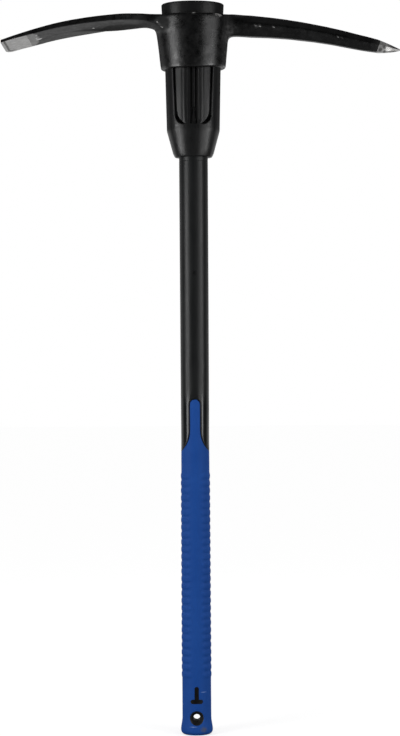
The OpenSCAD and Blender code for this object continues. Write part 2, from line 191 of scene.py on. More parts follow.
def mirrored(values):
    """A rising list that starts at 0, continued below 0."""
    return [-v for v in reversed(values[1:])] + list(values)


def turns(n):
    return [2 * math.pi * i / n for i in range(n)]


# Meshes

def shell(outer, inner, faces):
    """A closed skin: the outer faces, the inner ones turned round, and walls along the open edges."""
    n = len(outer)
    edges = {(f[i - 1], f[i]) for f in faces for i in range(len(f))}
    walls = [(b, a, a + n, b + n) for a, b in sorted(edges) if (b, a) not in edges]
    backs = [tuple(i + n for i in reversed(f)) for f in faces]
    return list(outer) + list(inner), list(faces) + backs + walls


def stack(rings, closed=False):
    """The points of rings of equal length, and the quads between them."""
    n = len(rings[0])
    starts = [i * n for i in range(len(rings))]
    pairs = list(zip(starts, starts[1:]))
    if closed:
        pairs.append((starts[-1], starts[0]))
    faces = [(low + i, low + (i + 1) % n, high + (i + 1) % n, high + i)
             for low, high in pairs for i in range(n)]
    return [p for ring in rings for p in ring], faces


def half_skins(zs, n, first, is_joined, point):
    """Points of a skin in two halves, and their indices by level, side and place."""
    verts, spots = [], {}
    for r, z in enumerate(zs):
        for side in (first, -first):
            for k in range(n):
                if side != first and is_joined(r) and k in (0, n - 1):
                    spots[r, side, k] = spots[r, first, k]
                    continue
                spots[r, side, k] = len(verts)
                verts.append(point(r, z, side, k))
    return verts, spots


def skin_faces(spots, levels, n, first, is_open):
    """Quads between the points of such a skin. The second half's are turned round."""
    faces = []
    for r in range(levels - 1):
        for side in (first, -first):
            for k in range(n - 1):
                if not is_open(r, side, k):
                    corners = ((r, k), (r, k + 1), (r + 1, k + 1), (r + 1, k))
                    quad = tuple(spots[row, side, place] for row, place in corners)
                    faces.append(quad if side == first else quad[::-1])
    return faces


def rim_of(block):
    """The points round a block that is given row by row from below."""
    rim = block[0] + [row[-1] for row in block[1:]]
    return rim + block[-1][-2::-1] + [row[0] for row in reversed(block[1:-1])]


def round_hole(verts, rim, centre_z, loops, point, side):
    """Fills a gap in a skin from its rim to a round hole. Returns the faces and the hole's last loop."""
    flat = [(verts[i][0], verts[i][2] - centre_z) for i in rim]
    angles = [math.atan2(z, x) for x, z in flat]
    reach = [math.hypot(x, z) for x, z in flat]
    first = loops[0][0]
    table = [([lerp(r, first, t) for r in reach], 0.0) for t in (0.35, 0.7)]
    table += [([r] * len(rim), depth) for r, depth in loops]
    faces, last = [], list(rim)
    for radii, depth in table:
        ring = []
        for r, a in zip(radii, angles):
            ring.append(len(verts))
            verts.append(point(r * math.cos(a), centre_z + r * math.sin(a), side, depth))
        faces += [(last[i - 1], last[i], ring[i], ring[i - 1]) for i in range(len(rim))]
        last = ring
    return faces, last


def add_object(name, data):
    obj = bpy.data.objects.new(name, data)
    bpy.context.scene.collection.objects.link(obj)
    return obj


def add_piece(name, verts, faces, material, slot, *stands_for):
    """A closed mesh piece of the handle that stands for CAD nodes."""
    mesh = bpy.data.meshes.new(name)
    mesh.from_pydata((np.asarray(verts, float) * MM).tolist(), [], faces)
    bm = bmesh.new()
    bm.from_mesh(mesh)
    bmesh.ops.recalc_face_normals(bm, faces=bm.faces)
    bm.to_mesh(mesh)
    bm.free()
    return finish_piece(name, mesh, material, "handle", slot, *stands_for)


def finish_piece(name, mesh, material, body, slot, *stands_for, sharp=38):
    mesh.polygons.foreach_set("use_smooth", np.ones(len(mesh.polygons), bool))
    mesh.set_sharp_from_angle(angle=math.radians(sharp))
    mesh.materials.clear()
    mesh.materials.append(material)
    obj = add_object(name, mesh)
    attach(obj, body)
    if stands_for:
        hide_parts(*stands_for)
    return obj


def paint_points(mesh, name, values):
    mesh.attributes.new(name, "FLOAT", "POINT").data.foreach_set("value", np.asarray(values, float))


# Materials

class Nodes:
    """A shader's node tree, with short calls for the nodes that it uses."""

    def __init__(self, owner, place):
        owner.use_nodes = True
        self.tree = owner.node_tree
        self.place = self.node("TexCoord")[place]

    def put(self, socket, value):
        if isinstance(value, bpy.types.NodeSocket):
            self.tree.links.new(value, socket)
        else:
            socket.default_value = value

    def node(self, kind, inputs=(), **settings):
        """Adds a node with those settings and inputs, and returns its outputs."""
        made = self.tree.nodes.new("ShaderNode" + kind)
        for name, value in settings.items():
            setattr(made, name, value)
        for key, value in dict(inputs).items():
            self.put(made.inputs[key], value)
        return made.outputs

    def math(self, operation, a, b, limit=False):
        return self.node("Math", {0: a, 1: b}, operation=operation, use_clamp=limit)[0]

    def add(self, a, b):
        return self.math("ADD", a, b)

    def times(self, a, b, limit=False):
        return self.math("MULTIPLY", a, b, limit)

    def most(self, a, b):
        return self.math("MAXIMUM", a, b)

    def span(self, value, low, high, to_low=0.0, to_high=1.0, smooth=False):
        ends = {"Value": value, "From Min": low, "From Max": high, "To Min": to_low, "To Max": to_high}
        return self.node("MapRange", ends, interpolation_type="SMOOTHSTEP" if smooth else "LINEAR")[0]

    def length(self, vector):
        return self.node("VectorMath", {0: vector}, operation="LENGTH")["Value"]

    def depth_y(self):
        return self.node("SeparateXYZ", {0: self.place})["Y"]


class Shade(Nodes):
    """A material of its own."""

    def __init__(self, name, specular=0.5):
        self.material = bpy.data.materials.new(name)
        super().__init__(self.material, "Object")
        self.set(Specular_IOR_Level=specular)

    def set(self, **values):
        for name, value in values.items():
            self.put(self.tree.nodes["Principled BSDF"].inputs[name.replace("_", " ")], value)

    def scaled(self, *factors):
        """The place, stretched by a factor along each axis."""
        return self.node("Mapping", {"Vector": self.place, "Scale": factors})[0]

    def noise(self, scale, detail, rough, place=None):
        inputs = {"Vector": place or self.place, "Scale": scale, "Detail": detail, "Roughness": rough}
        return self.node("TexNoise", inputs)["Fac"]

    def cells(self, scale):
        return self.node("TexVoronoi", {"Vector": self.place, "Scale": scale})["Distance"]

    def mix(self, factor, a, b):
        return self.node("Mix", {0: factor, 6: a, 7: b}, data_type="RGBA")[2]

    def toned(self, colour, level):
        """A colour times a level."""
        return self.node("VectorMath", {0: colour, "Scale": level}, operation="SCALE")[0]

    def painted(self, name):
        """A value that the mesh carries at its points."""
        return self.node("Attribute", attribute_name=name)["Fac"]

    def spot(self, centre, half, edge=0.4):
        """1 in the middle of an oval spot, 0 outside it."""
        inputs = {"Vector": self.place, "Location": [v * MM for v in centre], "Scale": [v * MM for v in half]}
        place = self.node("Mapping", inputs, vector_type="TEXTURE")[0]
        return self.span(self.length(place), 1.0, edge, smooth=True)

    def bump(self, height, strength, distance, normal=None):
        inputs = {"Height": height, "Strength": strength, "Distance": distance * MM}
        if normal is not None:
            inputs["Normal"] = normal
        return self.node("Bump", inputs)[0]


def grey(v):
    return (v, v, v, 1.0)


def painted_steel():
    """Thin black paint on a forging, worn to bare steel where the mesh says so."""
    s = Shade("black_paint_on_steel", specular=0.7)
    blotch = s.noise(60, 4, 0.6)
    fine = s.noise(900, 2, 0.5)
    grain = s.noise(240, 3, 0.6)
    ragged = s.noise(420, 5, 0.7)
    bare = s.span(s.add(s.painted("bare"), s.span(ragged, 0.25, 0.75, -0.3, 0.3)), 0.46, 0.54, smooth=True)
    thin = s.times(s.painted("scuff"), s.span(ragged, 0.3, 0.6, 0.55, 1.0), limit=True)
    worn = s.mix(thin, s.mix(s.span(blotch, 0.35, 0.75), *PAINT), THIN_PAINT)
    lines = s.noise(700, 3, 0.7, s.scaled(0.12, 1.6, 1.0))
    steel = s.mix(s.span(lines, 0.3, 0.7), *STEEL)
    steel = s.mix(s.painted("burr"), steel, BURR)
    steel = s.mix(s.painted("chip"), steel, CHIP)
    steel = s.mix(s.times(s.painted("stain"), 0.8), steel, STAIN)
    mottled = s.toned(steel, s.span(s.noise(160, 4, 0.65), 0.3, 0.7, 0.75, 1.1))
    s.set(Base_Color=s.mix(bare, worn, mottled), Metallic=s.most(s.times(bare, 0.85), s.times(thin, 0.8)))
    matt = s.add(s.span(blotch, 0.3, 0.8, 0.26, 0.36), s.span(grain, 0.3, 0.7, -0.03, 0.05))
    matt = s.add(matt, s.span(s.noise(130, 5, 0.65), 0.3, 0.7, -0.06, 0.07))
    dull = s.times(s.painted("dull"), s.math("SUBTRACT", 1.0, bare))
    matt = s.add(matt, s.times(dull, s.span(ragged, 0.3, 0.6, 0.3, 0.45)))
    s.set(Roughness=s.add(matt, s.times(bare, 0.06)))
    forged = s.bump(grain, 0.3, 0.12, s.bump(fine, 0.35, 0.05))
    s.set(Normal=s.bump(s.times(bare, -1.0), 0.5, 0.08, forged))
    return s.material


def black_nylon():
    """Moulded black nylon with flow lines down its length, pale scuffs, and a painted highlight at the
    window's lower left corner.
    """
    s = Shade("black_nylon", specular=0.42)
    blotch = s.noise(70, 4, 0.6)
    flow = s.noise(520, 3, 0.6, s.scaled(1.0, 1.0, 0.03))
    fine = s.noise(1300, 2, 0.5)
    scuff = s.span(s.noise(130, 5, 0.7), 0.6, 0.78)
    # Painted highlight: a pale spot at the window's lower left corner, where the lip catches the light
    corner = s.times(s.spot(*CORNER_HIGHLIGHT_SPOT, 0.2), s.span(fine, 0.35, 0.6, 0.4, 1.0))
    scuffs_and_highlight = s.most(s.times(scuff, 0.08), s.times(corner, 0.6))
    s.set(Base_Color=s.mix(scuffs_and_highlight, s.mix(s.span(blotch, 0.3, 0.75), *NYLON), SCUFF_AND_HIGHLIGHT))
    s.set(Roughness=s.add(s.span(flow, 0.3, 0.7, 0.27, 0.38), s.times(scuff, 0.12)))
    s.set(Normal=s.bump(flow, 0.25, 0.08, s.bump(fine, 0.3, 0.04)))
    return s.material


def black_jacket():
    """Moulded black jacket: a fine lengthwise grain, specks, and polish where the mesh says so."""
    s = Shade("black_jacket", specular=0.32)
    drawn = s.noise(900, 3, 0.6, s.scaled(1.0, 1.0, 0.012))
    blotch = s.noise(45, 4, 0.6, s.scaled(1.0, 1.0, 0.35))
    fine = s.noise(1500, 2, 0.5)
    speck = s.span(s.noise(260, 4, 0.75), 0.66, 0.74)
    s.set(Base_Color=s.mix(s.times(speck, 0.18), s.mix(s.span(blotch, 0.3, 0.75), *JACKET), SPECK))
    matt = s.add(s.span(drawn, 0.3, 0.7, 0.31, 0.4), s.span(blotch, 0.3, 0.7, -0.03, 0.05))
    s.set(Roughness=s.math("SUBTRACT", matt, s.times(s.painted("polish"), 0.27)))
    s.set(Normal=s.bump(drawn, 0.12, 0.05, s.bump(fine, 0.3, 0.03)))
    return s.material


def blue_rubber():
    """Matt blue rubber with a fine grain, rubbed paler in places and soiled at the butt."""
    s = Shade("blue_rubber", specular=0.14)
    blotch = s.noise(38, 4, 0.6)
    fine = s.noise(1700, 2, 0.6)
    grain = s.noise(420, 3, 0.6)
    ragged = s.noise(300, 4, 0.7)
    base = s.mix(s.span(blotch, 0.3, 0.72), *RUBBER)
    rubbed = s.mix(s.span(grain, 0.62, 0.8, 0.0, 0.25), base, RUBBED)
    scratch = s.most(*[s.spot(*place) for place in SCRATCHES])
    marked = s.mix(s.times(scratch, s.span(ragged, 0.35, 0.6, 0.25, 0.8)), rubbed, SCRATCH)
    soil = s.times(s.spot(*SOILED, 0.1), s.span(ragged, 0.3, 0.6, 0.3, 0.9))
    s.set(Base_Color=s.mix(soil, marked, SOIL), Sheen_Weight=0.05, Sheen_Roughness=0.4)
    s.set(Roughness=s.add(s.span(grain, 0.3, 0.7, 0.55, 0.68), s.span(blotch, 0.3, 0.7, -0.03, 0.03)))
    s.set(Normal=s.bump(grain, 0.2, 0.06, s.bump(fine, 0.35, 0.05)))
    return s.material


def black_inlay(name, specular, dark, light):
    """Moulded black plastic, between two greys."""
    s = Shade(name, specular)
    fine = s.noise(1200, 3, 0.6)
    blotch = s.noise(160, 3, 0.6)
    s.set(Base_Color=s.mix(s.span(blotch, 0.3, 0.7), grey(dark), grey(light)))
    s.set(Roughness=s.span(blotch, 0.3, 0.7, 0.34, 0.5), Normal=s.bump(fine, 0.3, 0.04))
    return s.material


def fibreglass():
    """Sawn end and drawn side of a glass fibre rod."""
    s = Shade("fibreglass_rod")
    strand = s.noise(1600, 3, 0.7, s.scaled(1.0, 1.0, 0.02))
    cut = s.noise(500, 4, 0.7, s.scaled(3.0, 0.25, 1.0))
    tone = s.mix(s.span(strand, 0.3, 0.7), *STRANDS)
    s.set(Base_Color=s.mix(s.span(cut, 0.55, 0.8, 0.0, 0.4), tone, SAWN))
    s.set(Roughness=s.span(strand, 0.3, 0.7, 0.45, 0.7))
    s.set(Normal=s.bump(cut, 0.4, 0.15, s.bump(strand, 0.4, 0.1)))
    return s.material


def epoxy():
    """Amber epoxy with bubbles and a skin."""
    s = Shade("amber_epoxy")
    cloud = s.noise(220, 4, 0.6)
    bubble = s.span(s.cells(900), 0.0, 0.3, 1.0, 0.0)
    s.set(Base_Color=s.mix(s.span(cloud, 0.3, 0.7), *AMBER))
    s.set(Roughness=s.span(cloud, 0.3, 0.7, 0.18, 0.34), Normal=s.bump(bubble, 0.3, 0.1))
    return s.material


# Head: a cage of control points, with columns and rows round the eye and an arm out of a patch at each end

COLUMNS = 32
ADZE_COLUMNS = range(12, 21)
PICK_COLUMNS = range(-2, 3)
PATCH_LOW, PATCH_MID, PATCH_TOP = 6, 7, 8
LEAN_ROWS = range(2, 8)
# How sharp edges are: the hole's by row, the pick's root, the arms' ends, and each arm's lower, side and
# upper edges, of which its first stretch has a share
HOLE_CREASES, ROOT_CREASE, END_CREASE = ((0, 0.6), (10, 0.5)), 0.8, 0.9
ADZE_CREASES, PICK_CREASES, FIRST_CREASE = (0.85, 0.0, 0.85), (0.35, 0.45, 0.5), 0.3
# A subdivided ring of control points draws in by this much
RING_GAIN = 6 / (4 + 2 * math.cos(2 * math.pi / COLUMNS))
SUBDIVISIONS = 3
ADZE_STATIONS = runs((55, 66, 1), (66, 189, 8), (189, 201.8, 1), (201.8, 206.2, 2), (206.2, 228, 3),
                     (228, 234, 2), (234, ADZE_REACH, 2))
PICK_STATIONS = runs((59, 219, 8), (219, 229.8, 1), (229.8, 234.2, 2), (234.2, PICK_REACH, 4))


def eye_outer(z):
    t = (z - EYE_LOW) / (EYE_TOP - EYE_LOW)
    return [lerp(low, high, t) for low, high in zip(EYE_LOW_AB, EYE_TOP_AB)]


def eye_hole(z):
    half = between(z, SLEEVE_W)[0] / 2
    return [half + EYE_FIT, half * SLEEVE_RATIO + EYE_FIT]


def eye_rise(k):
    """How much higher the eye's upper edge is at a column, where an arm leaves it."""
    if k % COLUMNS in ADZE_COLUMNS:
        return ADZE_RISE - ADZE_DIP
    return PICK_RISE if k in PICK_COLUMNS else 0.0


def eye_column(k):
    """Control points of the eye's wall at a column, from the hole's lower edge round to its upper one."""
    angle = 2 * math.pi * k / COLUMNS
    to_pick = (1 + math.cos(angle)) / 2
    to_adze = max(0.0, -math.cos(angle)) ** 2
    k = (k + COLUMNS // 2) % COLUMNS - COLUMNS // 2
    rise = eye_rise(k)
    low = EYE_LOW + lerp(-EYE_SAG, EYE_LIFT, math.cos(angle) ** 2) + EYE_TILT * math.cos(angle)
    bottom_mid = [(a + b) / 2 for a, b in zip(eye_hole(EYE_LOW), eye_outer(EYE_LOW))]
    rim = [a - EYE_RIM for a in eye_outer(EYE_TOP)]
    rows = [(eye_hole(EYE_LOW), low), (bottom_mid, low), (eye_outer(EYE_LOW), low)]
    for adze_z, pick_z, swell in EYE_ROWS:
        z = lerp(adze_z, pick_z, to_pick)
        a, b = eye_outer(z)
        rows.append(((a + swell * to_adze, b), z))
    rows += [(eye_outer(EYE_TOP), EYE_TOP + rise), (rim, EYE_TOP + rise / 3), (eye_hole(EYE_TOP), EYE_TOP)]
    rows += [(eye_hole(z), z) for z in HOLE_ROWS]
    points = []
    for row, ((a, b), z) in enumerate(rows):
        turn = angle
        if k in PICK_COLUMNS and row in (PATCH_LOW, PATCH_TOP):
            turn = math.asin(PICK_FLAT * math.sin(angle))
        lean = EYE_LEAN * clamp((LEAN_TOP - z) / (LEAN_TOP - EYE_LOW)) if row in LEAN_ROWS else 0.0
        points.append((RING_GAIN * a * math.cos(turn) + lean, RING_GAIN * b * math.sin(turn), z))
    return points


def arm_drop(t, even):
    return even * t + (1 - even) * t * t


def arm_share(x, reach):
    return clamp((x - ARM_ROOT_X) / (reach - ARM_ROOT_X))


def adze_top(x):
    bow = sum(high * hump(x, at, long) for at, high, long in ADZE_BOW)
    drop = ADZE_DROP * arm_drop(arm_share(x, ADZE_REACH), ADZE_EVEN)
    return EYE_TOP + ADZE_RISE + bow - ADZE_DIP * ease(*DIP_X, x) - drop


def adze_half(t):
    if t < ADZE_WIDEST:
        return lerp(ADZE_ROOT_W, ADZE_W, math.sin(QUARTER * t / ADZE_WIDEST)) / 2
    return lerp(ADZE_W, ADZE_EDGE_W, (t - ADZE_WIDEST) / (1 - ADZE_WIDEST)) / 2


def adze_loop(x):
    """One section of the adze: along the underside from back to front, up, and back along the top."""
    t = arm_share(x, ADZE_REACH)
    half = adze_half(t)
    top = adze_top(x) + ADZE_SKIN
    ground = clamp((x - ADZE_REACH + ADZE_BEVEL) / ADZE_BEVEL)
    side = lerp(lerp(ADZE_SIDE_T, ADZE_END_T, t), ADZE_EDGE_T, ground) + 2 * ADZE_SKIN
    into = clamp((x - ADZE_REACH + ADZE_CORNER) / ADZE_CORNER)
    back = half - ADZE_CORNER_W * (1 - math.sqrt(1 - CORNER_END * into ** 2))
    deep, sloped = between(x, ADZE_RIDGE)
    returned = ease(*RIDGE_RETURNS, x)
    ridge = RIDGE_Y * ease(*RIDGE_LEAVES, x) * lerp(1.0, RETURN_Y, returned)
    foot = FOOT_FRONT * lerp(1.0, RETURN_FOOT, returned)
    behind, before = ridge + FOOT_BACK, ridge - foot
    ys = [back, lerp(behind, back, BELLY_SHARE), behind, ridge + CREST_BACK, ridge,
          ridge - CREST_FRONT, before, lerp(before, -half, BELLY_SHARE), -half]

    def low(y):
        if y >= ridge:
            slope = sloped * clamp((half - y) / (half - behind))
            crest = (deep - sloped) * clamp((behind - y) / (FOOT_BACK - CREST_BACK))
        else:
            slope = FRONT_SLOPE * sloped * clamp((half + y) / (half + before))
            crest = (deep - FRONT_SLOPE * sloped) * clamp((y - before) / (foot - CREST_FRONT))
        return top - side - slope - crest

    bottom = [(-x, y, low(y)) for y in ys]
    upper = [(-x, y, top) for y in reversed(ys)]
    return bottom + [(-x, ys[-1], top - side / 2)] + upper + [(-x, ys[0], top - side / 2)]


def pick_top(t):
    return EYE_TOP + PICK_RISE - PICK_DROP * arm_drop(t, PICK_EVEN)


def pick_loop(x):
    """One section of the pick, in the same order as the adze's, front and back changed over."""
    start = PICK_REACH - PICK_POINT
    t = arm_share(x, start)
    into = clamp((x - start) / PICK_POINT)
    half = lerp(PICK_ROOT_D, PICK_END_D, t) / 2
    high = pick_top(t) - PICK_SINK * hump(x, SINK_X, SINK_L)
    low = high - lerp(PICK_ROOT_H, PICK_END_H, t) - PICK_SKIN + between(x, PICK_BELLY)[0]
    tip_z = pick_top(1) - PICK_POINT_DROP
    high = lerp(high + PICK_SKIN, tip_z, POINT_CLOSES * into)
    low = lerp(low, tip_z, POINT_CLOSES * into ** POINT_CURVE)
    half *= 1 - POINT_THINS * clamp((into - THINS_FROM) / (1 - THINS_FROM)) ** THINS_CURVE
    ridge = lerp(high, low, PICK_RIDGE)
    ys = [math.sin(2 * math.pi * k / COLUMNS) / math.sin(math.pi / 8) for k in PICK_COLUMNS]
    share = lerp(PICK_FLAT, POINT_FLAT, ease(*POINT_FLAT_AT, (x - start) / PICK_POINT))
    flat = [f * half * share for f in ys]
    bottom = [(x, y, low) for y in flat]
    upper = [(x, y, high) for y in reversed(flat)]
    return bottom + [(x, half, ridge)] + upper + [(x, -half, ridge)]


def sharpen(bm, a, b, value):
    edge = bm.edges.get((a, b))
    if edge is not None:
        edge[bm.edges.layers.float["crease_edge"]] = value


def draw_arm(bm, columns, ks, stations, section, creases):
    """Draws an arm out of a patch of the eye, section by section, and closes its end."""
    n = len(ks)
    ks = [k % COLUMNS for k in ks]
    low, side, top = creases
    marks = [(0, low), (n - 1, low), (n, side), (n + 1, top), (2 * n, top), (2 * n + 1, side)]
    loop = [columns[k][PATCH_LOW] for k in ks] + [columns[ks[-1]][PATCH_MID]]
    loop += [columns[k][PATCH_TOP] for k in reversed(ks)] + [columns[ks[0]][PATCH_MID]]
    for count, x in enumerate(stations):
        ring = [bm.verts.new(p) for p in section(x)]
        for i in range(len(loop)):
            bm.faces.new((loop[i - 1], loop[i], ring[i], ring[i - 1]))
        for i, value in marks:
            sharpen(bm, loop[i], ring[i], value * (FIRST_CREASE if count == 0 else 1.0))
        loop = ring
    bottom, upper = loop[:n], loop[n + 1:2 * n + 1][::-1]
    for i in range(1, n - 2):
        bm.faces.new((bottom[i], bottom[i + 1], upper[i + 1], upper[i]))
    bm.faces.new((bottom[0], bottom[1], upper[1], upper[0], loop[-1]))
    bm.faces.new((bottom[n - 2], bottom[n - 1], loop[n], upper[n - 1], upper[n - 2]))
    for i in range(len(loop)):
        sharpen(bm, loop[i - 1], loop[i], END_CREASE)


def head_cage():
    """The control mesh of the head: the eye's ring, with an arm drawn out of a patch at each end."""
    bm = bmesh.new()
    bm.edges.layers.float.new("crease_edge")
    columns = [[bm.verts.new(p) for p in eye_column(k)] for k in range(COLUMNS)]
    neighbours = list(zip(columns, columns[1:] + columns[:1]))
    rows = len(columns[0])
    patches = {k % COLUMNS for ks in (ADZE_COLUMNS, PICK_COLUMNS) for k in ks[:-1]}
    for k, (here, there) in enumerate(neighbours):
        for r in range(rows):
            if k not in patches or r not in (PATCH_LOW, PATCH_MID):
                s = (r + 1) % rows
                bm.faces.new((here[r], there[r], there[s], here[s]))
    draw_arm(bm, columns, ADZE_COLUMNS, ADZE_STATIONS, adze_loop, ADZE_CREASES)
    draw_arm(bm, columns, PICK_COLUMNS, PICK_STATIONS, pick_loop, PICK_CREASES)
    for k in (PICK_COLUMNS[0], PICK_COLUMNS[-1]):
        for r in (PATCH_LOW, PATCH_MID):
            sharpen(bm, columns[k][r], columns[k][r + 1], ROOT_CREASE)
    for here, there in neighbours:
        for row, value in HOLE_CREASES:
            sharpen(bm, here[row], there[row], value)
    bmesh.ops.recalc_face_normals(bm, faces=bm.faces)
    mesh = bpy.data.meshes.new("head_cage")
    bm.to_mesh(mesh)
    bm.free()
    return mesh


def subdivided(mesh, levels):
    """The mesh after that many rounds of subdivision, as a new mesh."""
    obj = add_object("cage", mesh)
    modifier = obj.modifiers.new("subdivide", "SUBSURF")
    modifier.levels = levels
    modifier.render_levels = levels
    bpy.context.view_layer.update()
    graph = bpy.context.evaluated_depsgraph_get()
    made = bpy.data.meshes.new_from_object(obj.evaluated_get(graph))
    bpy.data.objects.remove(obj)
    bpy.data.meshes.remove(mesh)
    return made


# Wear of the head

WEAR = ("bare", "scuff", "dull", "chip", "burr", "stain")
# Bare chips on the front, seen from there: across, up and size
CHIPS = ((1.5, 898.2, 1.8), (31.0, 898.2, 3.8), (34.0, 896.2, 2.0), (78.6, 884.8, 1.3), (80.6, 885.2, 0.9),
         (83.4, 884.9, 1.4), (101.6, 883.1, 0.9), (181.0, 871.0, 0.58), (186.0, 869.6, 0.58),
         (-44.9, 889.8, 1.1), (-43.7, 888.0, 1.0), (-42.4, 886.4, 1.1), (-41.0, 884.8, 1.0),
         (-39.4, 883.0, 1.0), (-37.6, 881.6, 0.8))
# Chips on the adze's underside: place, half length and half width
UNDER_CHIPS = ((-193.2, 4.0, 4.4, 4.5), (-195.4, -5.0, 1.5, 5.0), (-194.3, -20.0, 1.6, 3.4),
               (-124.5, -2.0, 1.2, 3.5))
# Where along the adze its grinding, its bare edge and its rubbed paint begin
GROUND_X, EDGE_X, RUBBED_X = -204.5, (-236.2, -236.8), -192.5
# The dull streak under it, where that widens, the dull root, and the burr round the corner
STREAK_X, STREAK_WIDENS, DULL_ROOT_X, BURR_X = (-152, -138), (-118, -104), (-72, -58), (-222, -229)
BEVEL_STAIN = (-216, 20.6, 2.4, 4.0)
# The pick's ground point, which leans, and the stains on it: across, up and size
POINT_X, POINT_Z, POINT_LEAN = 231.5, 856, 0.34
POINT_STAINS = ((239.4, 858.2, 2.4), (234.9, 855.4, 2.6), (239.9, 852.6, 1.8))
TIP_STAIN_X = (243, 251)
# Dull places on the eye: the pick's root and the crook over the adze's
PICK_ROOT, CROOK = (43, 12, (872, 900)), (-37, 21, 886)
# Where the adze and the pick's point begin, and half sizes of the eye's hole
ADZE_FROM, POINT_FROM, HOLE_HALF = -50, 215, (40, 28)
# Dents of the forging: height, length and seed
DENTS = ((0.16, 16, 1), (0.06, 5, 2))
DENT_SINK = 0.1


def wobble(p, size, seed):
    """Smooth noise from -1 to 1 at a point, about size millimetres from bump to bump."""
    return noise.noise(Vector((p[0] / size + seed, p[1] / size, p[2] / size)))


def adze_wear(wear, i, p, normal):
    """Grinding on the underside's end, rubbed paint above it, chips, and a dull streak to the root."""
    x, y, _ = p
    under = ease(-0.25, -0.6, normal[2])
    ground = ease(0.4, 0.1, normal[2]) if y > 0 else under
    line = GROUND_X + 0.02 * y + 0.8 * wobble(p, 9, 3)
    wear.bare[i] = max(ground * ease(line + 0.8, line - 0.8, x), 0.9 * ease(*EDGE_X, x))
    line = RUBBED_X - 0.004 * (y + 6) ** 2 + 2.5 * wobble(p, 12, 8)
    wear.scuff[i] = under * ease(line + 1.2, line - 1.2, x)
    for cx, cy, long, wide in UNDER_CHIPS:
        away = math.hypot((x - cx) / long, (y - cy) / wide) + 0.7 * wobble(p, 5, 12)
        chip = under * ease(1.0, 0.6, away)
        wear.chip[i] = max(wear.chip[i], chip)
        wear.bare[i] = max(wear.bare[i], 0.85 * chip)
    widened = ease(*STREAK_WIDENS, x)
    front = lerp(3.7 - 0.147 * (x + 112.5), -6.0, widened) + 1.2 * wobble(p, 20, 4)
    back = front + lerp(4.0, 60.0, widened)
    streak = ease(front - 1.0, front + 1.5, y) * ease(back + 2.0, back - 1.0, y) * ease(*STREAK_X, x)
    wear.dull[i] = under * lerp(0.42, 1.0, max(streak, ease(*DULL_ROOT_X, x)))
    cx, cy, long, wide = BEVEL_STAIN
    away = math.hypot((x - cx) / long, (y - cy) / wide) + 0.6 * wobble(p, 4, 9)
    wear.stain[i] = 0.3 * ease(1.2, 0.3, away)
    inside = adze_inside(x, y) + 0.7 * wobble(p, 8, 6)
    wear.burr[i] = wear.bare[i] * ease(2.8, 3.8, inside) * ease(6.4, 5.0, inside) * ease(*BURR_X, x)


def adze_inside(x, y):
    """How far a point of the adze lies inside its edge and the edge's round corner."""
    across = max(0.0, (y - ADZE_EDGE_W / 2) / ADZE_CORNER_W + 1)
    along = max(0.0, 1 - (x + ADZE_REACH) / ADZE_CORNER)
    corner = math.hypot(across, along)
    inside = ADZE_CORNER * (1 - corner) if corner > 0 else 10.0
    return min(inside, ADZE_REACH + x)


def pick_wear(wear, i, p):
    """Grinding on the point, stained at its root and at its very end."""
    x, _, z = p
    line = POINT_X + POINT_LEAN * (z - POINT_Z) + 0.5 * wobble(p, 5, 5)
    wear.bare[i] = ease(line - 0.8, line + 0.8, x)
    wear.scuff[i] = 0.04 * ease(line - 12, line, x)
    wear.stain[i] = ease(*TIP_STAIN_X, x)
    for cx, cz, size in POINT_STAINS:
        away = math.hypot(x - cx, z - cz) / size + 0.5 * wobble(p, 4, 21)
        wear.stain[i] = max(wear.stain[i], ease(1.25, 0.5, away))


def eye_wear(wear, i, p, normal):
    """Chips on the front, dull paint in the crooks, and the rough line where the pick leaves the eye."""
    x, y, z = p
    graze = 0.0
    if y < 0 and (normal[1] < -0.15 or z > 897):
        for cx, cz, size in CHIPS:
            away = math.hypot(x - cx, z - cz) / size + 0.5 * wobble(p, 2.0, 11)
            wear.bare[i] = max(wear.bare[i], 0.75 * ease(1.2, 0.4, away))
            graze = max(graze, 0.1 * ease(1.9, 0.8, away))
    root = (PICK_ROOT[0], math.copysign(PICK_ROOT[1], y), clamp(z, *PICK_ROOT[2]))
    crook = (CROOK[0], math.copysign(CROOK[1], y), CROOK[2])
    under = ease(-0.1, -0.5, normal[2]) * ease(-34, -44, x)
    wear.dull[i] = max(ease(10, 4, math.dist(p, root)), under, ease(13, 7, math.dist(p, crook)))
    rough = ease(58, 48, x) * ease(38, 43, x) * ease(888, 884, z)
    wear.scuff[i] = max(graze, 0.1 * rough * ease(-0.1, 0.4, wobble(p, 3, 31)))


def read_points(source, name, n):
    values = np.zeros(n * 3)
    source.foreach_get(name, values)
    return values.reshape(-1, 3)


def build_head(material):
    mesh = subdivided(head_cage(), SUBDIVISIONS)
    n = len(mesh.vertices)
    places = read_points(mesh.vertices, "co", n)
    normals = read_points(mesh.vertex_normals, "vector", n)
    wear = SimpleNamespace(**{name: np.zeros(n) for name in WEAR})
    moved = places.copy()
    for i, (p, normal) in enumerate(zip(places, normals)):
        if p[0] < ADZE_FROM:
            adze_wear(wear, i, p, normal)
        elif p[0] > POINT_FROM:
            pick_wear(wear, i, p)
        else:
            eye_wear(wear, i, p, normal)
        dent = 0.0
        if abs(p[0]) >= HOLE_HALF[0] or abs(p[1]) >= HOLE_HALF[1]:
            dent = sum(high * wobble(p, size, seed) for high, size, seed in DENTS)
        moved[i] = p + normal * (dent * (1 - 0.8 * wear.bare[i]) - DENT_SINK)
    mesh.vertices.foreach_set("co", (moved * MM).ravel())
    for name in WEAR:
        paint_points(mesh, name, getattr(wear, name))
    mesh.update()
    finish_piece("head_forging", mesh, material, "head", "black_steel", "mattock_head", sharp=50)


# Sleeve

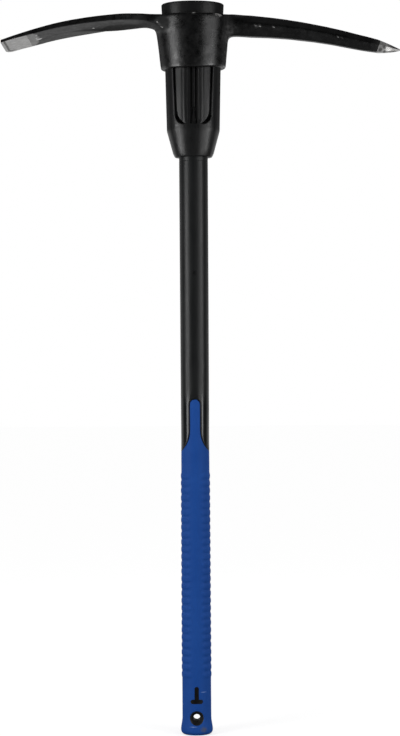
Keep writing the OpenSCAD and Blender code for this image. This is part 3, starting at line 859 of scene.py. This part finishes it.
# Places across the window, closest at its edges, and levels up the sleeve
WINDOW_X = runs((0, 3.2, 10), (3.2, 4.9, 17), (4.9, 7.4, 2), (7.4, 8.3, 3), (8.3, 12.2, 3), (12.2, 13.6, 4),
                (13.6, 18, 6), (18, 20.6, 6), (20.6, 22.4, 7), (22.4, 24, 2))
SLEEVE_Z = runs((727, 752, 5), (752, 758, 8), (758, 760, 3), (760, 773, 28), (773, 781, 6), (781, 786, 8),
                (786, 878, 12), (878, 882, 10), (882, HANDLE_L - RIM_R, 5))
SIDE_STEPS = 10


def sleeve_half(z):
    """Half width of the sleeve between its lip and its rim, its cone's upper edge rounded."""
    places = (z, CONE_Z - CONE_ROUND, CONE_Z, CONE_Z + CONE_ROUND)
    here, below, edge, above = [between(v, SLEEVE_W)[0] / 2 for v in places]
    near = max(0.0, 1 - abs(z - CONE_Z) / CONE_ROUND)
    return here + ((below + above) / 2 - edge) * 0.5 * near ** 2


def window_half(z):
    return WINDOW_W / 2 + WINDOW_FLARE * clamp(z - WINDOW_LOW, 0, WINDOW_HIGH - WINDOW_LOW)


def window_depth(x, z):
    """How far a point of the front outline lies inside the window, in millimetres, below 0 outside."""
    across = window_half(z) - abs(x)
    if z > (WINDOW_LOW + WINDOW_HIGH) / 2:
        return min(across, WINDOW_HIGH - z)
    up = z - WINDOW_LOW
    if across < WINDOW_R and up < WINDOW_R:
        return WINDOW_R - math.hypot(WINDOW_R - across, WINDOW_R - up)
    return min(across, up)


def floor_cut(x, z, edge):
    """Depth of what is cut in the window's floor, at a distance from its wall."""
    off, wide = abs(x - CHANNEL_X), abs(x)
    channel = ease(CHANNEL_HALF, CHANNEL_HALF - CHANNEL_EDGE, off)
    spine = SPINE_H * ease(*SPINE_HALF, off) * ease(*SPINE_FOOT, z)
    nub = NUB_H * ease(*NUB_HALF, math.hypot(off, z - NUB_Z))
    half = WEDGE_HALF * clamp((WEDGE_Z - z) / WEDGE_L)
    wedge = WEDGE_H * ease(half + WEDGE_EDGE, half - WEDGE_EDGE, off)
    reach = lerp(*TRENCH_W, ease(*TRENCH_W_Z, z)) * lerp(TRENCH_END_W, 1.0, ease(*TRENCH_END_X, wide))
    trench = lerp(*TRENCH_DEEP, ease(*TRENCH_DEEP_Z, z)) * ease(reach, reach - TRENCH_EDGE, edge)
    cut = channel * (CHANNEL_DEEP - max(spine, nub, wedge)) + trench * ease(*TRENCH_X, wide)
    for deep, start, end, slope in FLOOR_LINES:
        cut += deep * (ease(end, end - slope, wide) - ease(start + slope, start, wide))
    return cut


def sleeve_ring(z, half=None):
    """One ring of the sleeve, its window recess cut in."""
    half = sleeve_half(z) if half is None else half
    guide = max(half, BODY_W / 2)
    wider = window_half(z) - WINDOW_W / 2
    quarter = [math.asin((x + wider * ease(*FLARE_X, x)) / guide) for x in WINDOW_X]
    quarter += [lerp(quarter[-1], QUARTER, i / SIDE_STEPS) for i in range(1, SIDE_STEPS + 1)]
    depth = half * SLEEVE_RATIO

    def face_y(x, angle):
        inside = window_depth(x, z)
        into = WINDOW_LIP - clamp(-inside, 0, WINDOW_LIP)
        lip = LIP_SHARE * ease(*LIP_X, abs(x))
        y = depth * math.cos(angle) - lip * (WINDOW_LIP - math.sqrt(WINDOW_LIP ** 2 - into ** 2))
        if inside <= 0:
            return y
        floor = FLOOR_D / 2 - FLOOR_CROWN * (1 - math.sqrt(max(0.05, 1 - (2 * x / FLOOR_W) ** 2)))
        run = lerp(FOOT_RUN, WALL_T, ease(*FOOT_X, abs(x)))
        y = min(y, lerp(y, floor, ease(0, run, inside)))
        return y - ease(0, WALL_T, inside) * floor_cut(x, z, inside)

    front = [(half * math.sin(a), -face_y(half * math.sin(a), a)) for a in mirrored(quarter)]
    back = [(-x, -y) for x, y in front[1:-1]]
    return [(x, y, z) for x, y in front + back]


def plain_ring(angles, z, a, b):
    return [(a * math.sin(t), -b * math.cos(t), z) for t in angles]


def build_sleeve(material):
    slope = math.atan((BODY_W - MOUTH_W) / 2 / (CONE_Z - MOUTH_Z))

    def rounded(z, half, r, angle):
        return sleeve_ring(z + r * math.sin(angle), half - r + r * math.cos(angle))

    rings = [rounded(MOUTH_Z + LIP_R, MOUTH_W / 2, LIP_R, a) for a in runs((-QUARTER, -slope, 6))]
    rings += [sleeve_ring(z) for z in SLEEVE_Z]
    rings += [rounded(HANDLE_L - RIM_R, RIM_W / 2, RIM_R, QUARTER * t) for t in runs((0.2, 1, 5))]
    angles = [math.atan2(x, -y) for x, y, _ in rings[0]]
    socket_a, socket_b = SHAFT_W / 2 + SOCKET_FIT, SHAFT_W / 2 * SHAFT_RATIO + SOCKET_FIT
    rings += [plain_ring(angles, z, a, b) for z, a, b in (
        (HANDLE_L, BORE_R + BORE_BEVEL, BORE_R + BORE_BEVEL), (HANDLE_L - BORE_BEVEL, BORE_R, BORE_R),
        (SOCKET_Z + 0.2, BORE_R, BORE_R), (SOCKET_Z, socket_a, socket_b),
        (MOUTH_Z + 1.0, socket_a, socket_b), (MOUTH_Z, socket_a + SOCKET_BEVEL, socket_b + SOCKET_BEVEL))]
    add_piece("sleeve_moulding", *stack(rings, closed=True), material, "black_nylon", "eye_sleeve")


# Jacket and grip

def groove(z):
    """Width of the groove between grip and jacket."""
    return lerp(GROOVE_SIDE_W, GROOVE_W, ease(*GROOVE_OPENS, z))


def tongue_half(z, grow):
    """Half width of the grip's outline at a height, grown by a gap."""
    half, r = TONGUE_W / 2 + grow, FLARE_R - grow
    if z < FLARE_Z:
        return half + r - math.sqrt(max(0.0, r * r - (FLARE_Z - z) ** 2))
    if z < TONGUE_C:
        return half
    return math.sqrt(max(0.0, half * half - (z - TONGUE_C) ** 2))


def outline_gap(x, z, grow):
    """Distance from the grip's outline, grown by a gap: above 0 on the jacket, below 0 on the grip."""
    half, r = TONGUE_W / 2 + grow, FLARE_R - grow
    if z >= TONGUE_C:
        return math.hypot(x, z - TONGUE_C) - half
    if z >= FLARE_Z:
        return abs(x) - half
    return r - math.hypot(abs(x) - half - r, z - FLARE_Z)


def side_start(grow, wide):
    """Height at which the outline leaves the sides of the handle."""
    half, r = TONGUE_W / 2 + grow, FLARE_R - grow
    return FLARE_Z - math.sqrt(r * r - (half + r - wide) ** 2)


def tongue_rows(start, lift, straight, tip, steps):
    """Levels up the outline: along its flare, its straight sides and the round of its tip."""
    rows = [start + lift + (FLARE_Z - start) * (i / 14) ** 2 for i in range(15)]
    rows += runs((FLARE_Z + 4, TONGUE_C, straight))[:-1]
    return rows + [TONGUE_C + tip * math.sin(QUARTER * i / steps) for i in range(13)]


def round_drop(gap, r, z):
    """How far a lip with a rounded edge has dropped at a distance from the outline."""
    into = clamp(r - gap, 0, r)
    return (r - math.sqrt(max(0.0, r ** 2 - into ** 2))) * ease(*ROUND_OPENS, z)


def shaft_half(z):
    t = clamp((z - SHAFT_LOW_Z) / (SOCKET_Z - SHAFT_LOW_Z))
    return lerp(SHAFT_LOW_W, SHAFT_W, math.sin(QUARTER * t)) / 2


def off_oval(a, ratio, angle, out):
    """A point of an oval at an angle from the front, pushed out along its normal."""
    b = a * ratio
    n = Vector((math.sin(angle) / a, -math.cos(angle) / b)).normalized()
    return a * math.sin(angle) + n.x * out, -b * math.cos(angle) + n.y * out


def tang_point(x, y, z):
    """The place on the tang for a point of the skin over it: level, and as far across where it can be."""
    a, b = TANG_W / 2 + TANG_FIT, TANG_D / 2 + TANG_FIT
    wide = abs(x)
    if wide > TANG_KEEP:
        wide = TANG_KEEP + (a - TANG_KEEP) * clamp((wide - TANG_KEEP) / (SKIN_HALF - TANG_KEEP))
    return math.copysign(wide, x), math.copysign(b * math.sqrt(max(0.0, 1 - (wide / a) ** 2)), y), z


# Places round a half of the jacket, from the front to the back
JACKET_T = runs((0, 0.02, 4), (0.02, 0.08, 4), (0.08, 0.5, 12))
JACKET_T = JACKET_T + [1 - t for t in reversed(JACKET_T[:-1])]
JACKET_LIFT = 0.03
# Levels above the tongue's tip, and then up to the socket
TIP_RISES = (0.15, 0.35, 0.65, 1.0, 1.6, 2.4, 3.4, 5, 8, 12, 18, 26)
SHAFT_Z = runs((460, PIN_Z - 8, 8), (PIN_Z - 8, PIN_Z + 8, 8), (PIN_Z + 8, 714, 8), (714, 721, 20),
               (721, SOCKET_Z, 2))
# Over this height above the tip the places spread evenly
EVEN_RUN = 40
# A pin's mark: the block of skin that it takes out, and its loops as radius and depth
PIN_BLOCK, PIN_COLUMNS = 6.1, 3
PIN_LOOPS = ((PIN_R + 0.5, 0.0), (PIN_R + 0.2, 0.06), (PIN_R, 0.3), (PIN_R - 0.1, PIN_DEEP),
             (PIN_R - 0.5, PIN_DEEP + 0.1), (0.8, PIN_DEEP + 0.1))
# Where the jacket is polished: off the groove, and between these heights
POLISH_GAP, POLISH_LOW, POLISH_HIGH = (0.2, 0.7), (356, 368), (436, 404)


def jacket_point(a, angle, z):
    """A point of the jacket's skin, dropped at its lip and at its seam."""
    x, _ = off_oval(a, SHAFT_RATIO, angle, 0)
    out = -round_drop(outline_gap(x, z, groove(z)), JACKET_ROUND, z) - SEAM_DEEP * hump(z, SEAM_Z, SEAM_HALF)
    return off_oval(a, SHAFT_RATIO, angle, out)


def jacket_skin():
    """The jacket's levels, its points, and their indices by level, side and place."""
    tip = TONGUE_W / 2 + GROOVE_W
    top = TONGUE_C + tip
    zs = tongue_rows(side_start(groove(LEAVES_Z), shaft_half(LEAVES_Z + 1)), JACKET_LIFT, 5, tip, 12)
    tip_row = len(zs) - 1
    zs += [top + d for d in TIP_RISES] + SHAFT_Z
    n = len(JACKET_T)

    def point(r, z, side, k):
        a = shaft_half(z)
        edge = math.asin(clamp(tongue_half(z, groove(z)) / a)) if r < tip_row else 0.0
        t = lerp(JACKET_T[k], k / (n - 1), ease(top, top + EVEN_RUN, z))
        x, y = jacket_point(a, lerp(edge, math.pi - edge, t), z)
        return side * x, y, z

    return zs, *half_skins(zs, n, 1, lambda r: r >= tip_row, point)


def pin_point(x, z, side, depth):
    """A point of a pin's mark, on the front or on the back."""
    a = shaft_half(z)
    px, py = off_oval(a, SHAFT_RATIO, math.asin(clamp(x / a, -1, 1)), -depth)
    return px, py * -side, z


def build_jacket(material):
    zs, verts, spots = jacket_skin()
    m = len(JACKET_T) - 1
    block = [r for r, z in enumerate(zs) if abs(z - PIN_Z) <= PIN_BLOCK]

    def is_open(r, side, k):
        return r in block[:-1] and not PIN_COLUMNS <= k < m - PIN_COLUMNS

    faces = skin_faces(spots, len(zs), m + 1, 1, is_open)
    for side, ks in ((-1, range(PIN_COLUMNS + 1)), (1, range(m, m - PIN_COLUMNS - 1, -1))):
        rows = [[spots[r, -1, k] for k in reversed(ks)] + [spots[r, 1, k] for k in ks[1:]] for r in block]
        made, last = round_hole(verts, rim_of(rows), PIN_Z, PIN_LOOPS, pin_point, side)
        made.append(tuple(last))
        faces += made if side < 0 else [f[::-1] for f in made]
    polish = []
    for x, _, z in verts:
        gap = outline_gap(x, z, groove(z))
        polish.append(ease(*POLISH_GAP, gap) * ease(*POLISH_LOW, z) * ease(*POLISH_HIGH, z))
    inner = [tang_point(*v) for v in verts]
    closed = shell(verts, inner, faces)
    obj = add_piece("jacket_skin", *closed, material, "black_jacket", "handle_jacket")
    paint_points(obj.data, "polish", polish + [0.0] * len(inner))


def build_tang(material):
    """The jacket's own tang under the grip, seen at the bottom of the groove."""
    angles = turns(48)
    levels = [(TANG_LOW, TANG_BEVEL), (TANG_LOW + TANG_BEVEL, 0.0)]
    levels += [(z, 0.0) for z in runs((60, 420, 12))]
    levels += [(TANG_TOP - TANG_BEVEL, 0.0), (TANG_TOP, TANG_BEVEL)]
    rings = [plain_ring(angles, z, TANG_W / 2 - inset, TANG_D / 2 - inset) for z, inset in levels]
    verts, faces = stack(rings)
    n = len(angles)
    faces += [tuple(reversed(range(n))), tuple(range(len(verts) - n, len(verts)))]
    add_piece("jacket_tang", verts, faces, material, "black_jacket")


# Places across the grip at its widest, and their shares of a quarter turn
GRIP_X = (0, 1.3, 2.75, 3.9, 5.1, 6.15, 7.75, 9.4, 11.2, 12.9, 14.3, 15.5, 16.4, 17.05, 17.5, 17.8, 17.96)
GRIP_X_HALF, MARK_REACH = 18.05, 9
GRIP_S = mirrored([math.asin(x / GRIP_X_HALF) / QUARTER for x in GRIP_X] + [1.0])
GRIP_S = [s * (0.985 + 0.015 * abs(s)) if abs(s) < 1 else s for s in GRIP_S]
RIBS_LOW = 70.475
# The block of skin round the hang hole, and the hole's loops as radius and depth
HOLE_BLOCK_Z, HOLE_BLOCK_X = (10.5, 32.5), 11.4
HOLE_LOOPS = ((EYELET_R + 1.0, 0.0), (EYELET_R + 0.6, 0.07), (EYELET_R + 0.25, 0.28), (EYELET_R + 0.05, 0.65),
              (EYELET_R, 1.1))
# The butt's end: shares of its rings, and the inside's height and share over it
BUTT_RINGS, BUTT_FLOOR, BUTT_INSIDE = (0.72, 0.4), 5.0, 0.55


def grip_half(z):
    """Half width of the grip without its ribs."""
    plain = lerp(GRIP_LOW_W, GRIP_TOP_W, clamp((z - BUTT_H) / (GRIP_TOP - BUTT_H))) / 2
    if z > GRIP_TOP:
        plain = lerp(plain, shaft_half(z) - GRIP_UNDER, ease(GRIP_TOP, GRIP_JOINS, z))
    if z >= BUTT_H:
        return plain
    if z >= BUTT_R:
        t = (z - BUTT_R) / (BUTT_H - BUTT_R)
        return lerp(plain, BUTT_W / 2, (1 + math.cos(math.pi * t)) / 2)
    return BUTT_W / 2 - BUTT_R + math.sqrt(BUTT_R ** 2 - (BUTT_R - z) ** 2)


def grip_out(x, z):
    """How far the grip's skin stands off its oval: its ribs, and the round along the tongue's edge."""
    out = 0.0
    nearest = round((RIB_Z - z) / RIB_PITCH)
    if -1 <= nearest <= RIB_N:
        dz = abs(z - RIB_Z + clamp(nearest, 0, RIB_N - 1) * RIB_PITCH)
        short = max(0.0, STRIP_W / 2 + RIB_W / 2 - abs(x))
        out += RIB_H * ease(*RIB_SLOPE, RIB_W / 2 - math.hypot(short, dz))
    return out - round_drop(-outline_gap(x, z, 0.0), GRIP_ROUND, z)


def grip_point(x, z, side, depth=0.0):
    a = grip_half(z)
    angle = math.asin(clamp(x / a, -1, 1))
    px, py = off_oval(a, GRIP_RATIO, angle, grip_out(x, z) - depth)
    return px, py * -side, z


def grip_rows():
    """The grip's levels: the rings from the butt up, then the tongue's."""
    foot, cut, top = MARK_Z + MARK_BAR, MARK_Z + MARK_H - MARK_CUT, MARK_Z + MARK_H
    low, high = HOLE_BLOCK_Z
    start = side_start(0.0, grip_half(LEAVES_Z))
    rings = [BUTT_R * (1 - math.cos(QUARTER * i / 7)) for i in range(8)]
    rings += runs((7.0, low, 2), (low, high, 12), (high, MARK_Z, 3), (MARK_Z, foot, 4), (foot, cut, 6),
                  (cut, top, 1), (top, RIBS_LOW, 4), (RIBS_LOW, RIBS_LOW + RIB_N * RIB_PITCH, RIB_N * 8))
    rings += runs((330, start, 8))
    return rings, tongue_rows(start, 0.0, 6, TONGUE_W / 2, 12.3)[1:]


def in_mark(x, z):
    """Whether a place on the front lies in the mark: an upright bar on a foot."""
    if not MARK_Z < z < MARK_Z + MARK_H:
        return False
    return abs(x) < (MARK_W / 2 if z < MARK_Z + MARK_BAR else MARK_BAR / 2)


def mark_corner(x, z, gap):
    """Draws a corner of the mark's outline in, so that the bars' ends are cut off at their corners."""
    cut = MARK_CUT / 2
    half, bar = MARK_W / 2 - gap, MARK_BAR / 2 - gap
    for cx, cz, up in ((half, MARK_Z + gap, cut), (half, MARK_Z + MARK_BAR - gap, -cut),
                       (bar, MARK_Z + MARK_H - gap, -cut)):
        if abs(abs(x) - cx) < 0.05 and abs(z - cz) < 0.05:
            return math.copysign(abs(x) - cut, x), z + up
    return x, z


def on_mark(x, z):
    """A place near the mark, moved to the mark's own lines."""
    nearest = min(GRIP_X, key=lambda v: abs(v - abs(x)))
    return mark_corner(math.copysign(nearest, x) if nearest < MARK_REACH else x, z, 0.0)


def grip_skin(rings, tongue):
    """The grip's points, and their indices by level, side and place."""
    def point(r, z, side, k):
        a = grip_half(z)
        edge = QUARTER if r < len(rings) else math.asin(clamp(tongue_half(z, 0.0) / a))
        x = a * math.sin(GRIP_S[k] * edge)
        if side < 0 and MARK_Z - 1 < z < MARK_Z + MARK_H + 1:
            x, z = on_mark(x, z)
        return grip_point(x, z, side)

    return half_skins(rings + tongue, len(GRIP_S), -1, lambda r: r < len(rings), point)


def close_butt(verts, outer):
    """Faces over the butt's flat end, in from its outer ring."""
    faces, last = [], outer
    for share in BUTT_RINGS:
        ring = []
        for i in outer:
            ring.append(len(verts))
            verts.append((verts[i][0] * share, verts[i][1] * share, 0.0))
        faces += [(last[i], last[i - 1], ring[i - 1], ring[i]) for i in range(len(ring))]
        last = ring
    return faces + [tuple(last)]


def grip_inner(x, y, z):
    """The place inside the grip for a point of its skin: on the tang, or over the butt's end."""
    x, y, _ = tang_point(x, y, z)
    share = 1.0 if z > 1.0 else BUTT_INSIDE
    return x * share, y * share, max(z, BUTT_FLOOR + 0.02 * z)


def build_grip(material):
    rings, tongue = grip_rows()
    zs = rings + tongue
    n = len(GRIP_S) - 1
    verts, spots = grip_skin(rings, tongue)
    low, high = HOLE_BLOCK_Z
    rows = [r for r, z in enumerate(zs) if low - 0.1 < z < high + 0.1]
    columns = [i for i, s in enumerate(GRIP_S) if abs(GRIP_X_HALF * math.sin(s * QUARTER)) < HOLE_BLOCK_X]

    def is_open(r, side, i):
        if r in rows[:-1] and i in columns[:-1]:
            return True
        x = (verts[spots[r, side, i]][0] + verts[spots[r, side, i + 1]][0]) / 2
        return side < 0 and in_mark(x, (zs[r] + zs[r + 1]) / 2)

    faces = skin_faces(spots, len(zs), n + 1, -1, is_open)
    for side in (-1, 1):
        rim = rim_of([[spots[r, side, i] for i in columns] for r in rows])
        made, _ = round_hole(verts, rim, HOLE_Z, HOLE_LOOPS, grip_point, side)
        faces += made if side < 0 else [f[::-1] for f in made]
    outer = [spots[0, -1, i] for i in range(n + 1)] + [spots[0, 1, i] for i in range(n - 1, 0, -1)]
    faces += close_butt(verts, outer)
    closed = shell(verts, [grip_inner(*v) for v in verts], faces)
    add_piece("grip_rubber", *closed, material, "blue_rubber", "grip")


def build_inlay(material):
    """The mark's bars, set a little below the grip's skin."""
    half, bar = MARK_W / 2 - MARK_FIT, MARK_BAR / 2 - MARK_FIT
    low, mid, high = MARK_Z + MARK_FIT, MARK_Z + MARK_BAR - MARK_FIT, MARK_Z + MARK_H - MARK_FIT
    xs = mirrored([0, bar - 1.1, bar, half - MARK_CUT, half])
    zs = [low, low + MARK_CUT, mid - MARK_CUT, mid] + runs((mid + 2, high - MARK_CUT, 6)) + [high]
    verts, inner, faces, spots = [], [], [], {}
    for j, z in enumerate(zs):
        for i, x in enumerate(xs):
            if z > mid and abs(x) > bar + 0.01:
                continue
            place = mark_corner(x, z, MARK_FIT)
            spots[i, j] = len(verts)
            verts.append(grip_point(*place, -1, MARK_SUNK))
            inner.append(tang_point(*grip_point(*place, -1, MARK_T)))
    for j in range(len(zs) - 1):
        for i in range(len(xs) - 1):
            ids = [spots.get(key) for key in ((i, j), (i + 1, j), (i + 1, j + 1), (i, j + 1))]
            if None not in ids:
                faces.append(tuple(ids))
    add_piece("grip_mark", *shell(verts, inner, faces), material, "black_jacket", "grip_inlay")


def eyelet_mouth(sign):
    """Rings of one mouth of the eyelet, from its outside over its rim and down the funnel to its throat."""
    def ring(radius, sunk=None, y=None):
        points = []
        for a in turns(64):
            x, z = radius * math.cos(a), HOLE_Z + radius * math.sin(a)
            depth = y if y is not None else abs(grip_point(x, z, -1, sunk)[1])
            points.append((x, sign * depth, z))
        return points

    rings = [ring(EYELET_R - EYELET_FIT - inset, sunk=sunk) for inset, sunk in EYELET_RIM]
    edge = np.array(rings[-1])
    foot = np.array(ring(HOLE_R + 0.35, y=THROAT + 0.6))
    rings += [lerp(edge, foot, t).tolist() for t in (0.25, 0.5, 0.75, 1.0)]
    return rings + [ring(HOLE_R + 0.08, y=THROAT + 0.2), ring(HOLE_R, y=THROAT - 0.5)]


def build_eyelet(material):
    """The eyelet through the butt: a tube with funnel mouths that follow the grip's skin."""
    rings = eyelet_mouth(-1) + eyelet_mouth(1)[::-1]
    add_piece("hang_eyelet", *stack(rings, closed=True), material, "black_jacket", "hang_hole_eyelet")


# Stage, in metres

FLOOR_SIZE = 12.0
# How far from the handle the floor is seen with its shadows, and where they have faded
SHADOW_NEAR, SHADOW_FAR = 0.25, 1.3
# The floor's own light where it is seen, far off and near, and its greys unseen and seen
FLOOR_LIGHT, FLOOR_DIM, FLOOR_SEEN = (0.93, 0.68), 0.16, 0.56
# What gloss reflects from behind the object: from, to and the strengths there
FLOOR_BEHIND, WORLD_BEHIND = (0.2, 1.4, 0.0, 0.42), (0.45, 0.85, 0.02, 0.07)
WORLD_FILL = 0.38
# Soft lights: degrees from the front to the right, distance, lower and upper end, width and radiance
SOFTBOXES = {
    "left": (-52, 1.5, 0.05, 1.0, 0.6, 5.9),
    "right_low": (38, 1.5, 0.02, 0.3, 0.36, 4.2),
    "right": (54, 1.5, 0.3, 0.9, 0.24, 6.6),
    "right_high": (39, 1.5, 0.9, 1.04, 0.36, 3.0),
    "right_wide": (46, 1.7, 0.05, 1.06, 1.2, 1.2),
    "back_left": (-150, 1.6, 0.05, 0.86, 0.5, 1.0),
    "back_right": (150, 1.6, 0.05, 0.86, 0.5, 1.0),
    "side_left": (-118, 1.6, 0.05, 0.94, 1.0, 0.62),
    "side_right": (118, 1.6, 0.05, 0.94, 1.0, 0.52),
}
TOP_HEIGHT, TOP_SIZE, TOP_RADIANCE = 2.4, 1.4, 0.18


def build_stage():
    """A floor that is seen white, with soft shadows near the object, and throws little light back."""
    mesh = bpy.data.meshes.new("floor")
    corners = [(x * FLOOR_SIZE, y * FLOOR_SIZE, 0) for x, y in ((-1, -1), (1, -1), (1, 1), (-1, 1))]
    mesh.from_pydata(corners, [], [(0, 1, 2, 3)])
    floor = add_object("floor", mesh)
    s = Shade("white_floor", specular=0.1)
    ray = s.node("LightPath")
    near = s.span(s.length(s.place), SHADOW_NEAR, SHADOW_FAR, 1.0, 0.0, smooth=True)
    seen = s.times(ray["Is Camera Ray"], s.span(near, 0.0, 1.0, *FLOOR_LIGHT))
    reflected = s.times(ray["Is Glossy Ray"], s.span(s.depth_y(), *FLOOR_BEHIND, smooth=True))
    shown = s.times(ray["Is Camera Ray"], near)
    s.set(Base_Color=s.mix(shown, grey(FLOOR_DIM), grey(FLOOR_SEEN)), Roughness=0.9)
    s.set(Emission_Color=grey(1.0), Emission_Strength=s.add(seen, reflected))
    mesh.materials.append(s.material)


def build_world():
    """White where it is seen, and dim where it is reflected, a little less so behind the object."""
    world = bpy.data.worlds.new("studio")
    bpy.context.scene.world = world
    n = Nodes(world, "Generated")
    ray = n.node("LightPath")
    seen = n.most(ray["Is Camera Ray"], ray["Is Transmission Ray"])
    reflected = n.times(ray["Is Glossy Ray"], n.span(n.depth_y(), *WORLD_BEHIND, smooth=True))
    fill = n.times(ray["Is Diffuse Ray"], WORLD_FILL)
    background = n.tree.nodes["Background"].inputs
    n.put(background["Color"], grey(1.0))
    n.put(background["Strength"], n.add(n.most(seen, reflected), fill))


def add_light(name, place, width, height, radiance):
    """A soft light, looking down until it is turned."""
    lamp = bpy.data.lights.new(name, "AREA")
    lamp.shape = "RECTANGLE"
    lamp.size = width
    lamp.size_y = height
    lamp.energy = radiance * math.pi * width * height
    light = add_object(name, lamp)
    light.location = place
    light.visible_camera = False
    return light


def build_lights():
    for name, (turn, away, low, high, width, radiance) in SOFTBOXES.items():
        side = math.radians(turn)
        place = Vector((away * math.sin(side), -away * math.cos(side), (low + high) / 2))
        light = add_light("softbox_" + name, place, width, high - low, radiance)
        aim = Vector((0, 0, (low + high) / 2))
        light.rotation_euler = (aim - place).to_track_quat("-Z", "Y").to_euler()
    add_light("softbox_top", (0, 0, TOP_HEIGHT), TOP_SIZE, TOP_SIZE, TOP_RADIANCE)


def build_camera():
    data = bpy.data.cameras.new("camera")
    data.sensor_width = SENSOR
    data.lens = SENSOR * CAMERA_AWAY / FRAME_H
    data.clip_end = 100.0
    camera = add_object("camera", data)
    camera.location = (CAMERA_X * MM, -CAMERA_AWAY * MM, CAMERA_Z * MM)
    camera.rotation_euler = (QUARTER, math.radians(CAMERA_ROLL), 0)
    bpy.context.scene.camera = camera


build_head(painted_steel())
build_sleeve(black_nylon())
jacket = black_jacket()
build_jacket(jacket)
build_tang(jacket)
build_grip(blue_rubber())
build_inlay(black_inlay("black_mark", 0.3, 0.002, 0.0045))
build_eyelet(black_inlay("black_eyelet", 0.5, 0.013, 0.022))
for node, material in (("fibreglass_core", fibreglass()), ("epoxy_bond", epoxy())):
    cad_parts[node].data.materials.clear()
    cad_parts[node].data.materials.append(material)

build_stage()
build_world()
build_lights()
build_camera()
bpy.context.scene.view_settings.view_transform = "Standard"
